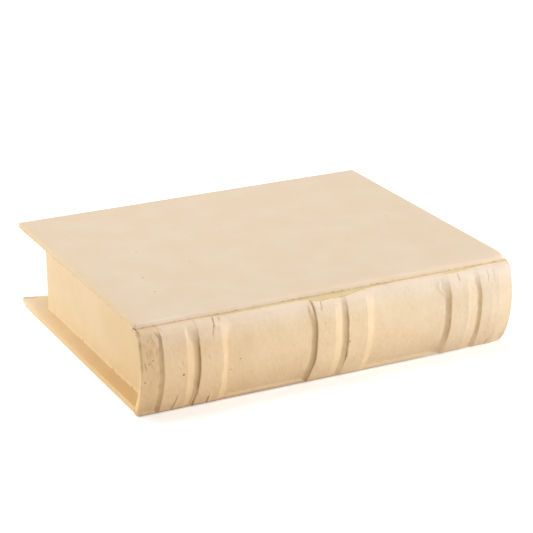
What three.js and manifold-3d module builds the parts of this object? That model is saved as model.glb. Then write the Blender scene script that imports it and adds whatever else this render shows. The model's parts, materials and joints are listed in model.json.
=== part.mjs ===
// Book box of papier-mache: a shallow tray between two covers, with a rounded spine that
// carries three pairs of raised bands under one skin of kraft paper. The upper cover is
// the lid and turns on a paper hinge in the groove along the top of the spine.
//
// Millimetres, +Z up. The pieces are drawn in the book's own frame: x runs from the tail
// end to the head end, y from the fold of the hinge to the fore edge, z from the table.
// The finished group is centred over the middle of its underside.

import * as THREE from "three";
import { mergeVertices } from "three/addons/utils/BufferGeometryUtils.js";
import Module from "manifold-3d";

const wasm = await Module();
wasm.setup();

// Covers
const coverLength = 260;
const coverDepth = 206.8;
const boxHeight = 60.2;
const coverBoard = 2.8;
const coverCornerRadius = 1.6;
const turnIn = 26;

// Paper and paste, the same everywhere
const paper = 0.4;
const paste = 0.1;
const buttGap = 0.3;

// Tray
const endOverhang = 10.8;
const foreOverhang = 22.2;
const traySpineInset = 5.8;
const trayBoard = 2;
const floorBoard = 2;
const rimTurnIn = 14;
const lidSeatGap = 0.2;

// Rounded spine, seen from its end
const spineBoard = 1.8;
const spineFootY = 3.2;
const spineCrownY = -7.8;
const spineShoulderY = -3.85;
const shoulderRadius = 2.4;
const shoulderSlope = THREE.MathUtils.degToRad(17);
const footClearance = 0.1;

// Paper hinge
const foldGap = 0.3;
const grooveWidth = 0.8;
const lidLeafReach = 18;
const spinePaperReveal = 0.7;

// Raised bands, in pairs
const bandBoard = 1.3;
const bandPitch = 23;
const bandSideSlack = 0.3;
const bandSlope = 3;
const bandSlopeAtEnds = 4.6;
const valleyFloor = 0.8;
const tailPair = { inset: 33, width: 13.6 };
const middlePair = { offset: 4.7, width: 11.6 };
const headPair = { inset: 28.4, width: 11.8 };

// How finely the curves are divided
const arcSteps = 18;
const shoulderSteps = 5;
const cornerSteps = 4;
const slopeSteps = 3;

// Levels and faces that several pieces share
const skin = paper + paste;
const coverThickness = coverBoard + 2 * skin;
const lidUnderside = boxHeight - coverThickness;
const rimTop = lidUnderside - lidSeatGap;
const trayUnderside = coverThickness + paste;
const floorTop = trayUnderside + floorBoard;
const ledgeTop = lidUnderside - paste - skin;
const trayOutside = {
  x0: endOverhang,
  x1: coverLength - endOverhang,
  y0: traySpineInset,
  y1: coverDepth - foreOverhang,
};
const baseBoardSpineY = traySpineInset - paste;

// Colours of the dry paper, and its finish
const kraft = new THREE.MeshStandardMaterial({ color: 0xe8cda6, roughness: 0.9, metalness: 0 });
const kraftPale = new THREE.MeshStandardMaterial({ color: 0xecd8be, roughness: 0.85, metalness: 0 });
const kraftWarm = new THREE.MeshStandardMaterial({ color: 0xeed2a8, roughness: 0.9, metalness: 0 });
const greyBoard = new THREE.MeshStandardMaterial({ color: 0xb9a88c, roughness: 0.95, metalness: 0 });

const book = new THREE.Group();

/** Adds one named piece of the box, with a finish of its own, to the book. */
function addPiece(name, geometry, finish) {
  const mesh = new THREE.Mesh(geometry, finish.clone());
  mesh.name = name;
  book.add(mesh);
}

// Solids, and what is cut from them

/** A closed geometry as a solid that can be joined and cut. */
function toSolid(geometry) {
  const bare = geometry.clone();
  bare.deleteAttribute("normal");
  bare.deleteAttribute("uv");
  const merged = mergeVertices(bare, 1e-4);
  const vertProperties = new Float32Array(merged.getAttribute("position").array);
  const triVerts = new Uint32Array(merged.getIndex().array);
  return new wasm.Manifold(new wasm.Mesh({ numProp: 3, vertProperties, triVerts }));
}

/** A solid back as a geometry. */
function toGeometry(solid) {
  const { vertProperties, triVerts } = solid.getMesh();
  const geometry = new THREE.BufferGeometry();
  geometry.setAttribute("position", new THREE.BufferAttribute(new Float32Array(vertProperties), 3));
  geometry.setIndex(new THREE.BufferAttribute(new Uint32Array(triVerts), 1));
  geometry.computeVertexNormals();
  return geometry;
}

/** The first geometry less all the others. */
function cutAway(geometry, ...cutters) {
  let solid = toSolid(geometry);
  for (const cutter of cutters) solid = solid.subtract(toSolid(cutter));
  return toGeometry(solid);
}

/** A rectangle moved in by the same amount on all four sides, or out where it is negative. */
function inset(area, amount) {
  return { x0: area.x0 + amount, x1: area.x1 - amount, y0: area.y0 + amount, y1: area.y1 - amount };
}

/** A square-edged block over a rectangle, from z0 up to z1. */
function block(area, z0, z1) {
  const geometry = new THREE.BoxGeometry(area.x1 - area.x0, area.y1 - area.y0, z1 - z0);
  return geometry.translate((area.x0 + area.x1) / 2, (area.y0 + area.y1) / 2, (z0 + z1) / 2);
}

/** A slab with rounded corners at the fore edge, and at the spine too if asked. */
function slab(area, z0, z1, foreRadius, spineRadius) {
  const { x0, x1, y0, y1 } = area;
  const outline = new THREE.Shape();
  outline.moveTo(x0, y0 + spineRadius);
  if (spineRadius > 0) {
    outline.absarc(x0 + spineRadius, y0 + spineRadius, spineRadius, Math.PI, 1.5 * Math.PI);
  }
  outline.lineTo(x1 - spineRadius, y0);
  if (spineRadius > 0) {
    outline.absarc(x1 - spineRadius, y0 + spineRadius, spineRadius, 1.5 * Math.PI, 2 * Math.PI);
  }
  outline.lineTo(x1, y1 - foreRadius);
  outline.absarc(x1 - foreRadius, y1 - foreRadius, foreRadius, 0, 0.5 * Math.PI);
  outline.lineTo(x0 + foreRadius, y1);
  outline.absarc(x0 + foreRadius, y1 - foreRadius, foreRadius, 0.5 * Math.PI, Math.PI);
  const depth = z1 - z0;
  const options = { depth, bevelEnabled: false, curveSegments: cornerSteps };
  return new THREE.ExtrudeGeometry(outline, options).translate(0, 0, z0);
}

// Covers

const coverArea = { x0: 0, x1: coverLength, y0: grooveWidth, y1: coverDepth };
const innerCornerRadius = coverCornerRadius - skin;

/** The lid: its board, the paper folded over it, and the lining inside. */
function makeLid() {
  const boardArea = inset(coverArea, skin);
  const boardUnderside = lidUnderside + skin;
  const boardTop = boxHeight - skin;
  const board = slab(boardArea, boardUnderside, boardTop, innerCornerRadius, innerCornerRadius);
  addPiece("lid_board", board, greyBoard);

  const below = lidUnderside - 1;
  const leafBay = {
    x0: paper,
    x1: coverLength - paper,
    y0: coverArea.y0 - 1,
    y1: lidLeafReach + buttGap,
  };
  const liningBay = {
    x0: turnIn,
    x1: coverLength - turnIn,
    y0: lidLeafReach + buttGap - paper,
    y1: coverDepth - turnIn,
  };
  const cover = cutAway(
    slab(coverArea, lidUnderside, boxHeight, coverCornerRadius, coverCornerRadius),
    slab(inset(coverArea, paper), lidUnderside + paper, boxHeight - paper,
      coverCornerRadius - paper, coverCornerRadius - paper),
    block(leafBay, below, lidUnderside + skin),
    block(liningBay, below, lidUnderside + skin),
  );
  addPiece("lid_cover_paper", cover, kraftPale);

  const liningArea = { ...inset(liningBay, buttGap), y0: lidLeafReach + buttGap };
  addPiece("lid_lining_paper", block(liningArea, lidUnderside, lidUnderside + paper), kraft);
}

/** The base: its board, the paper folded over three of its edges, and the sheet between. */
function makeBase() {
  const boardArea = {
    x0: skin,
    x1: coverLength - skin,
    y0: baseBoardSpineY,
    y1: coverDepth - skin,
  };
  const board = slab(boardArea, skin, coverThickness - skin, innerCornerRadius, 0);
  addPiece("base_board", board, greyBoard);

  const sheetSpineY = spineFootY + skin;
  const sheetArea = { x0: 0, x1: coverLength, y0: sheetSpineY, y1: coverDepth };
  const boardBay = { ...inset(sheetArea, paper), y0: sheetSpineY - 1 };
  const footBay = { x0: -1, x1: coverLength + 1, y0: sheetSpineY - 1, y1: baseBoardSpineY };
  const sheetBay = { ...inset(sheetArea, turnIn), y0: sheetSpineY - 1 };
  const above = coverThickness + 1;
  const cover = cutAway(
    slab(sheetArea, 0, coverThickness, coverCornerRadius, 0),
    slab(boardBay, paper, coverThickness - paper, coverCornerRadius - paper, 0),
    block(footBay, paper, above),
    block(sheetBay, coverThickness - skin, above),
  );
  addPiece("base_cover_paper", cover, kraftWarm);

  const fillArea = { ...inset(sheetBay, buttGap), y0: baseBoardSpineY };
  const fill = block(fillArea, coverThickness - paper, coverThickness);
  addPiece("base_infill_paper", fill, kraft);
}

// Tray

/** The tray's four walls and floor, its wrapping and its linings. */
function makeTray() {
  const wallOutside = inset(trayOutside, skin);
  const wallInside = inset(wallOutside, trayBoard);
  const wallTop = rimTop - skin;
  const ends = { y0: wallOutside.y0, y1: wallOutside.y1 };
  const between = { x0: wallInside.x0 + paste, x1: wallInside.x1 - paste };
  const walls = {
    tray_tail_wall: { ...ends, x0: wallOutside.x0, x1: wallInside.x0 },
    tray_head_wall: { ...ends, x0: wallInside.x1, x1: wallOutside.x1 },
    tray_spine_side_wall: { ...between, y0: wallOutside.y0, y1: wallInside.y0 },
    tray_fore_edge_wall: { ...between, y0: wallInside.y1, y1: wallOutside.y1 },
  };
  for (const [name, area] of Object.entries(walls)) {
    addPiece(name, block(area, trayUnderside, wallTop), greyBoard);
  }
  addPiece("tray_floor_board", block(inset(wallInside, paste), trayUnderside, floorTop), greyBoard);

  const lined = inset(wallInside, paste);
  const clear = inset(lined, paper);
  const wrapHem = rimTop - rimTurnIn;
  const sleeve = cutAway(
    block(inset(trayOutside, paper), trayUnderside - 1, rimTop - paper),
    block(lined, wrapHem, rimTop),
  );
  const wrap = cutAway(
    block(trayOutside, trayUnderside, rimTop),
    block(clear, trayUnderside - 1, rimTop + 1),
    sleeve,
  );
  addPiece("tray_wrap_paper", wrap, kraftWarm);

  const liningTop = wrapHem - buttGap;
  const lining = cutAway(
    block(lined, floorTop + paste, liningTop),
    block(clear, floorTop, liningTop + 1),
  );
  addPiece("tray_wall_lining", lining, kraft);
  const floorLining = block(inset(clear, paste), floorTop + paste, floorTop + skin);
  addPiece("tray_floor_lining", floorLining, kraft);
}

// Spine

/**
 * The height of the centre of the arc that passes through the foot and the shoulder and
 * just touches the upright line through the crown. Each of the two points is given by its
 * depth behind that line and its height.
 */
function arcCentreHeight(foot, shoulder) {
  const a = 1 / foot.depth - 1 / shoulder.depth;
  const b = 2 * (shoulder.height / shoulder.depth - foot.height / foot.depth);
  const c = foot.height ** 2 / foot.depth - shoulder.height ** 2 / shoulder.depth
    + foot.depth - shoulder.depth;
  return (-2 * c) / (b + Math.sqrt(b * b - 4 * a * c));
}

/**
 * The outer face of the spine board as seen from its end: an arc from the foot to the
 * shoulder, a small shoulder arc, a sloping run up to the fold, and a level ledge that
 * meets the tray. The arc follows from where its foot, its crown and its shoulder are.
 */
function spineCurve() {
  const runEnd = new THREE.Vector2(-foldGap / 2, ledgeTop);
  const shoulderDrop = (runEnd.x - spineShoulderY) * Math.tan(shoulderSlope);
  const foot = { depth: spineFootY - spineCrownY, height: skin };
  const edge = { depth: spineShoulderY - spineCrownY, height: ledgeTop - shoulderDrop };
  const centreHeight = arcCentreHeight(foot, edge);
  const rise = centreHeight - foot.height;
  const radius = (foot.depth ** 2 + rise ** 2) / (2 * foot.depth);
  const centre = new THREE.Vector2(spineCrownY + radius, centreHeight);
  const along = new THREE.Vector2(Math.cos(shoulderSlope), Math.sin(shoulderSlope));
  const outward = new THREE.Vector2(-along.y, along.x);
  const inner = runEnd.clone().addScaledVector(outward, -shoulderRadius);
  const toInner = inner.clone().sub(centre);
  const reach = radius - shoulderRadius;
  const middle = toInner.dot(along);
  const back = middle + Math.sqrt(middle * middle - toInner.lengthSq() + reach * reach);
  const shoulder = inner.clone().addScaledVector(along, -back);
  const arcEnd = Math.atan2(shoulder.y - centre.y, centre.x - shoulder.x);
  const shoulderEnd = Math.PI / 2 - shoulderSlope;
  return { centre, radius, shoulder, arcEnd, shoulderEnd, runEnd, runLength: back, along, outward };
}

const spine = spineCurve();

/** A point at an angle above the horizontal, on a circle that bulges towards -y. */
function bulgePoint(centre, radius, angle) {
  return new THREE.Vector2(centre.x - radius * Math.cos(angle), centre.y + radius * Math.sin(angle));
}

/** A point on the arc, a share of the way up from a level foot, at an offset from the board. */
function arcPoint(share, offset, footHeight) {
  const radius = spine.radius + offset;
  const start = Math.asin((footHeight - spine.centre.y) / radius);
  return bulgePoint(spine.centre, radius, THREE.MathUtils.lerp(start, spine.arcEnd, share));
}

/** A point on the shoulder, a share of the way round it. */
function shoulderPoint(share, offset) {
  const angle = THREE.MathUtils.lerp(spine.arcEnd, spine.shoulderEnd, share);
  return bulgePoint(spine.shoulder, shoulderRadius + offset, angle);
}

/** A point on the run at a distance below the fold. */
function runPoint(distance, offset) {
  const point = spine.runEnd.clone().addScaledVector(spine.along, -distance);
  return point.addScaledVector(spine.outward, offset);
}

/** The arc at an offset, from its foot to the shoulder. */
function arcLine(offset, footHeight) {
  const line = [];
  for (let i = 0; i <= arcSteps; i += 1) line.push(arcPoint(i / arcSteps, offset, footHeight));
  return line;
}

/** The space between two lines in the end view, extruded from x0 to x1. */
function extrudeAlongSpine(outerLine, innerLine, x0, x1) {
  const outline = new THREE.Shape([...outerLine, ...innerLine.reverse()]);
  const geometry = new THREE.ExtrudeGeometry(outline, { depth: x1 - x0, bevelEnabled: false });
  const turn = new THREE.Matrix4().makeBasis(
    new THREE.Vector3(0, 1, 0),
    new THREE.Vector3(0, 0, 1),
    new THREE.Vector3(1, 0, 0),
  );
  return geometry.applyMatrix4(turn).translate(x0, 0, 0);
}

/** The curved board of the spine, with its shoulder and its ledge against the tray. */
function makeSpineBoard() {
  const ledgeY = traySpineInset - paste;
  const outer = arcLine(0, skin);
  const inner = arcLine(-spineBoard, skin);
  for (let i = 1; i <= shoulderSteps; i += 1) {
    outer.push(shoulderPoint(i / shoulderSteps, 0));
    inner.push(shoulderPoint(i / shoulderSteps, -spineBoard));
  }
  const bend = spineBoard * Math.tan(shoulderSlope / 2);
  outer.push(spine.runEnd.clone(), new THREE.Vector2(ledgeY, ledgeTop));
  inner.push(runPoint(-bend, -spineBoard), new THREE.Vector2(ledgeY, ledgeTop - spineBoard));
  addPiece("spine_board", extrudeAlongSpine(outer, inner, 0, coverLength), greyBoard);
}

/** The two leaves of the paper hinge, either side of its fold. */
function makeHingeStrip() {
  const spineLeafReach = spine.runLength - paste;
  const spineLeaf = extrudeAlongSpine(
    [runPoint(spineLeafReach, skin), runPoint(0, skin)],
    [runPoint(spineLeafReach, paste), runPoint(0, paste)],
    skin,
    coverLength - skin,
  );
  addPiece("hinge_strip_spine_leaf", spineLeaf, kraft);
  const lidArea = { x0: skin, x1: coverLength - skin, y0: foldGap / 2, y1: lidLeafReach };
  addPiece("hinge_strip_lid_leaf", block(lidArea, lidUnderside, lidUnderside + paper), kraft);
}

/** The middles of the six raised bands along the spine, with their widths. */
function bandPlaces() {
  const pairs = [
    { middle: tailPair.inset, width: tailPair.width },
    { middle: coverLength / 2 + middlePair.offset, width: middlePair.width },
    { middle: coverLength - headPair.inset, width: headPair.width },
  ];
  return pairs.flatMap(({ middle, width }) => [
    { middle: middle - bandPitch / 2, width },
    { middle: middle + bandPitch / 2, width },
  ]);
}

const bands = bandPlaces();

/** The flat strips that make the raised bands, bent over the spine board. */
function makeBands() {
  bands.forEach(({ middle, width }, index) => {
    const strip = extrudeAlongSpine(
      arcLine(paste + bandBoard, 2 * skin),
      arcLine(paste, 2 * skin),
      middle - width / 2,
      middle + width / 2,
    );
    addPiece(`raised_band_${index + 1}`, strip, greyBoard);
  });
}

/**
 * Places along the spine where its paper bends, with the share of a band's height there:
 * each band has a level top and a smooth slope on both sides, as wide as asked, but two
 * bands of a pair keep a narrow valley floor between them.
 */
function spineStations(slopeWidth) {
  const stations = [{ x: 0, lift: 0 }];
  for (const { middle, width } of bands) {
    const half = width / 2 + bandSideSlack;
    const slope = Math.min(slopeWidth, (bandPitch - valleyFloor) / 2 - half);
    for (let i = 0; i <= slopeSteps; i += 1) {
      const share = i / slopeSteps;
      stations.push({
        x: middle - half - (1 - share) * slope,
        lift: THREE.MathUtils.smoothstep(share, 0, 1),
      });
    }
    for (let i = slopeSteps; i >= 0; i -= 1) {
      const share = i / slopeSteps;
      stations.push({
        x: middle + half + (1 - share) * slope,
        lift: THREE.MathUtils.smoothstep(share, 0, 1),
      });
    }
  }
  stations.push({ x: coverLength, lift: 0 });
  return stations;
}

/**
 * The rows of the spine's paper, from its foot to its torn edge in the groove. Each row
 * gives a point of the end view for a lift over the board, and the width of the slopes
 * beside the bands. Over the shoulder the bands run out, and the paper climbs on the hinge.
 */
function spineRows() {
  const rows = [];
  for (let i = 0; i <= arcSteps; i += 1) {
    const share = i / arcSteps;
    const towardsEnds = (2 * share - 1) ** 2;
    rows.push({
      slope: THREE.MathUtils.lerp(bandSlope, bandSlopeAtEnds, towardsEnds),
      at: (lift, extra) => arcPoint(share, paste + lift * (bandBoard + paste) + extra, footClearance),
    });
  }
  for (let i = 1; i <= shoulderSteps; i += 1) {
    const share = i / shoulderSteps;
    const left = 1 - THREE.MathUtils.smoothstep(share, 0, 1);
    const under = paste + share * skin;
    rows.push({
      slope: bandSlopeAtEnds,
      at: (lift, extra) => shoulderPoint(share, under + left * lift * (bandBoard + paste) + extra),
    });
  }
  rows.push({
    slope: bandSlopeAtEnds,
    at: (lift, extra) => runPoint(spinePaperReveal, paste + skin + extra),
  });
  return rows;
}

/** The skin of paper over the spine board and its bands, as one closed sheet. */
function makeSpinePaper() {
  const rows = spineRows();
  const faces = [paper, 0].map((extra) => rows.map((row) => spineStations(row.slope).map(({ x, lift }) => {
    const point = row.at(lift, extra);
    return [x, point.x, point.y];
  })));
  const rowCount = rows.length;
  const columnCount = faces[0][0].length;
  const positions = faces.flat(3);
  const indices = [];
  const at = (face, row, column) => (face * rowCount + row) * columnCount + column;
  const quad = (a, b, c, d) => indices.push(a, b, c, a, c, d);
  for (let r = 0; r < rowCount - 1; r += 1) {
    for (let c = 0; c < columnCount - 1; c += 1) {
      quad(at(0, r, c), at(0, r, c + 1), at(0, r + 1, c + 1), at(0, r + 1, c));
      quad(at(1, r, c), at(1, r + 1, c), at(1, r + 1, c + 1), at(1, r, c + 1));
    }
  }
  const lastRow = rowCount - 1;
  const lastColumn = columnCount - 1;
  for (let c = 0; c < lastColumn; c += 1) {
    quad(at(0, 0, c), at(1, 0, c), at(1, 0, c + 1), at(0, 0, c + 1));
    quad(at(0, lastRow, c), at(0, lastRow, c + 1), at(1, lastRow, c + 1), at(1, lastRow, c));
  }
  for (let r = 0; r < lastRow; r += 1) {
    quad(at(0, r, 0), at(0, r + 1, 0), at(1, r + 1, 0), at(1, r, 0));
    quad(at(0, r, lastColumn), at(1, r, lastColumn), at(1, r + 1, lastColumn), at(0, r + 1, lastColumn));
  }
  const geometry = new THREE.BufferGeometry();
  geometry.setAttribute("position", new THREE.Float32BufferAttribute(positions, 3));
  geometry.setIndex(indices);
  geometry.computeVertexNormals();
  addPiece("spine_paper", geometry, kraft);
}

makeBase();
makeTray();
makeSpineBoard();
makeBands();
makeSpinePaper();
makeHingeStrip();
makeLid();

// The paper over the bands is what reaches furthest from the fore edge
const spineFrontY = spineCrownY - paste - bandBoard - skin;
book.position.set(-coverLength / 2, -(coverDepth + spineFrontY) / 2, 0);

const bookBox = new THREE.Group();
bookBox.add(book);

export default bookBox;
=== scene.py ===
"""Dresses a papier-mache book box and sets it on a white studio table.

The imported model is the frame. The sheets of paper that show are made here once more, with
the folds, tears and unevenness that pasted paper has, and each sits on the board that the
frame gives it. Lengths are metres, +X runs along the spine from its tail to its head end,
+Y from the spine to the fore edge, and +Z is up.
"""

from __future__ import annotations

import json
import logging
import math
from contextlib import contextmanager
from dataclasses import dataclass, field, replace
from enum import Enum
from typing import Callable, Iterable, Iterator

import bpy
import numpy as np
from mathutils import Euler, Matrix, Vector, noise


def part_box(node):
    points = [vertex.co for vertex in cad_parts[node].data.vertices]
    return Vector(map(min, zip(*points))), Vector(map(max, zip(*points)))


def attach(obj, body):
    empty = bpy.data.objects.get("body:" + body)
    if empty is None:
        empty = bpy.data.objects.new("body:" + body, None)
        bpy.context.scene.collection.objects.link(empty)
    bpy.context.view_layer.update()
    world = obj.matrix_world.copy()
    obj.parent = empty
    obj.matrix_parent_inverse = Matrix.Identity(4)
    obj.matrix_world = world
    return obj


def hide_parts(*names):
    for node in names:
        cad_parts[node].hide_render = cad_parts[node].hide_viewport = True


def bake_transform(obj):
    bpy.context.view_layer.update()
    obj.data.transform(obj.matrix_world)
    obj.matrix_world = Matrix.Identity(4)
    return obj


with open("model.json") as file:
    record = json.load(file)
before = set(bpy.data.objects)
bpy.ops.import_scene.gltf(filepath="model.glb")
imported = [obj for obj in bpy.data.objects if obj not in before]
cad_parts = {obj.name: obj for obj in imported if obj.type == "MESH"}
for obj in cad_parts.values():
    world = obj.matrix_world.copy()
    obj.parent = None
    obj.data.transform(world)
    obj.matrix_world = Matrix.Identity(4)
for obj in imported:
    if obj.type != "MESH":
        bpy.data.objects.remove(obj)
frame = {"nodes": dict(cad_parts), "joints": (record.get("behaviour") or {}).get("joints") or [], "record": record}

LOG = logging.getLogger("book_box")
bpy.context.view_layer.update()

PAPER = 0.0004
PASTE = 0.0001
SKIN = PAPER + PASTE

Array = np.ndarray
Colour = tuple[int, int, int]
Place = tuple[float, float]
Triple = tuple[float, float, float]
Stretch = tuple[float, float, float, float]
Light = tuple[float, float, float, float]
Socket = bpy.types.NodeSocket


class Body(Enum):
    """The two bodies that the hinge joins."""

    BOX = "box"
    LID = "lid"


class Slot(Enum):
    """The record's names for the finishes."""

    BOARD = "board"
    LID = "lid_paper"
    SPINE = "spine_paper"
    TRAY = "tray_paper"
    BASE = "base_paper"
    HINGE = "hinge_paper"
    LINING = "lining_paper"


def linear(colour: Colour) -> Light:
    """Turns a colour as seen on a screen, 0 to 255, into the opaque light that a shader takes."""
    shares = [value / 255 for value in colour]
    light = [share / 12.92 if share <= 0.04045 else ((share + 0.055) / 1.055) ** 2.4 for share in shares]
    return (light[0], light[1], light[2], 1.0)


def smooth(value: Array | float, start: float, end: float) -> Array:
    """Goes from 0 at start to 1 at end, level at both; either may be the lower place."""
    share = np.clip((np.asarray(value, float) - start) / (end - start), 0, 1)
    return share * share * (3 - 2 * share)


def plateau(value: Array, start: float, full: float, fading: float, end: float) -> Array:
    """Climbs from 0 at start to 1 at full, and falls from 1 at fading to 0 at end."""
    return smooth(value, start, full) * smooth(value, end, fading)


def paced(*stretches: tuple[float, float, int]) -> Array:
    """Places through stretches that follow one another: each has its start, end and cells."""
    ends = [np.linspace(start, end, cells + 1)[1:] for start, end, cells in stretches]
    return np.concatenate([[stretches[0][0]], *ends])


def on_sheet(x: Array, up: Array | float = 0.0) -> Array:
    """Points on a flat sheet, one in a row, at which a swell is looked up."""
    return np.stack([x, x * 0 + up, x * 0], axis=1)


def round_corner(
    along: Array, across: Array, corner: Place, radius: Array | float
) -> tuple[Array, Array]:
    """Pulls points near a square corner back, so that the corner becomes round.

    Args:
        along: the points' places on the first axis, on which the corner is at the high end.
        across: their places on the second axis, on which the corner is at the low end.
        corner: the corner's place on both.
        radius: the radius that it gets, one for all or one for each point.

    Returns:
        The new places on both axes.
    """
    right = np.clip(along - corner[0] + radius, 0, None)
    down = np.clip(corner[1] + radius - across, 0, None)
    reach = np.maximum(np.hypot(right, down), 1e-9)
    back = np.where((right > 0) & (down > 0), 1 - np.maximum(right, down) / reach, 0)
    return along - right * back, across + down * back


@dataclass(frozen=True)
class Swell:
    """A smooth random unevenness, from about -depth to depth.

    The size is how wide one swell is, in metres, and the seed picks another pattern of the
    same kind.
    """

    depth: float
    size: float
    seed: float

    def at(self, points: Array) -> Array:
        """Its height at each point, one point in a row."""
        shift = Vector((self.seed, self.seed * 1.7, -self.seed))
        heights = [noise.noise(Vector(point) / self.size + shift) for point in points]
        return self.depth * np.array(heights)


@dataclass(frozen=True)
class Patch:
    """A soiled part of the spine's paper, with soft ends along and up the spine."""

    share: float
    along: Place
    upward: Place = (-2.0, -1.0)

    def at(self, x: Array, up: Array) -> Array:
        """How soiled each place is."""
        return self.share * smooth(x, *self.along) * smooth(up, *self.upward)


class Recipe:
    """A node material that is put together one node at a time."""

    def __init__(self, name: str) -> None:
        """Starts an empty material of that name."""
        self.material = bpy.data.materials.new(name)
        self.material.use_nodes = True
        self.tree = self.material.node_tree
        self.tree.nodes.clear()

    @classmethod
    def on(cls, tree: bpy.types.NodeTree) -> Recipe:
        """Works on a node tree that exists, once it is emptied."""
        recipe = cls.__new__(cls)
        recipe.tree = tree
        tree.nodes.clear()
        return recipe

    def add(self, kind: str, sockets: dict | None = None, **settings: object) -> bpy.types.Node:
        """Adds a node.

        Args:
            kind: the node's type, without its leading ShaderNode.
            sockets: values or other nodes' outputs for its inputs, by name or number.
            settings: the node's own properties.

        Returns:
            The new node.
        """
        node = self.tree.nodes.new("ShaderNode" + kind)
        for name, value in settings.items():
            setattr(node, name, value)
        for name, value in (sockets or {}).items():
            if isinstance(value, Socket):
                self.tree.links.new(value, node.inputs[name])
            else:
                node.inputs[name].default_value = value
        return node

    def math(self, operation: str, *values: object) -> Socket:
        """Adds a Math node and returns its output."""
        return self.add("Math", dict(enumerate(values)), operation=operation).outputs[0]

    def times(self, first: object, second: object) -> Socket:
        """Multiplies two values."""
        return self.math("MULTIPLY", first, second)

    def rest(self, value: object) -> Socket:
        """What a value lacks of 1."""
        return self.math("SUBTRACT", 1.0, value)

    def paint(self, tone: object, share: object, colour: Colour) -> Socket:
        """Paints a colour over a tone, as much as the share says, and returns the new tone."""
        return self.add("Mix", {0: share, 6: tone, 7: linear(colour)}, data_type="RGBA").outputs[2]

    def band(self, value: object, low: float, high: float, top: float = 1.0) -> Socket:
        """Adds a Map Range that climbs smoothly from 0 at low to top at high."""
        sockets = {"Value": value, "From Min": low, "From Max": high, "To Max": top}
        return self.add("MapRange", sockets, interpolation_type="SMOOTHSTEP").outputs["Result"]

    def place(self) -> Socket:
        """The place on the piece."""
        return self.add("TexCoord").outputs["Object"]

    def axis(self, place: Socket, name: str) -> Socket:
        """One of a place's three coordinates."""
        return self.add("SeparateXYZ", {0: place}).outputs[name]

    def noise(self, place: Socket, size: float, detail: int) -> Socket:
        """Adds a noise whose swells are about that size, and returns its value."""
        sockets = {"Vector": place, "Scale": 1 / size, "Detail": detail, "Roughness": 0.6}
        return self.add("TexNoise", sockets).outputs["Fac"]

    def finish(self, surface: Socket) -> bpy.types.Material:
        """Joins the surface to the material's output and returns the material."""
        self.add("OutputMaterial", {"Surface": surface})
        return self.material


@dataclass(frozen=True)
class PaintedShading:
    """Painted light and shade: the paper's colour changing from one place of the box to another, as more or less
    light falls there.
    """

    axis: str
    start: float
    end: float
    colour: Colour
    share: float

    def over(self, recipe: Recipe, place: Socket, tone: Socket) -> Socket:
        """Paints this light and shade over a tone and returns the new tone."""
        amount = recipe.band(recipe.axis(place, self.axis), self.start, self.end, self.share)
        return recipe.paint(tone, amount, self.colour)


@dataclass(frozen=True)
class Spot:
    """A dark fleck of pulp at one place of a piece."""

    at: Triple
    radius: float = 0.0009
    dark: float = 0.5

    def share(self, recipe: Recipe, place: Socket) -> Socket:
        """How much of the fleck's colour shows at each place."""
        off = recipe.add("VectorMath", {0: place, 1: self.at}, operation="DISTANCE").outputs["Value"]
        return recipe.times(recipe.rest(recipe.band(off, self.radius / 3, self.radius)), self.dark)


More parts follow.
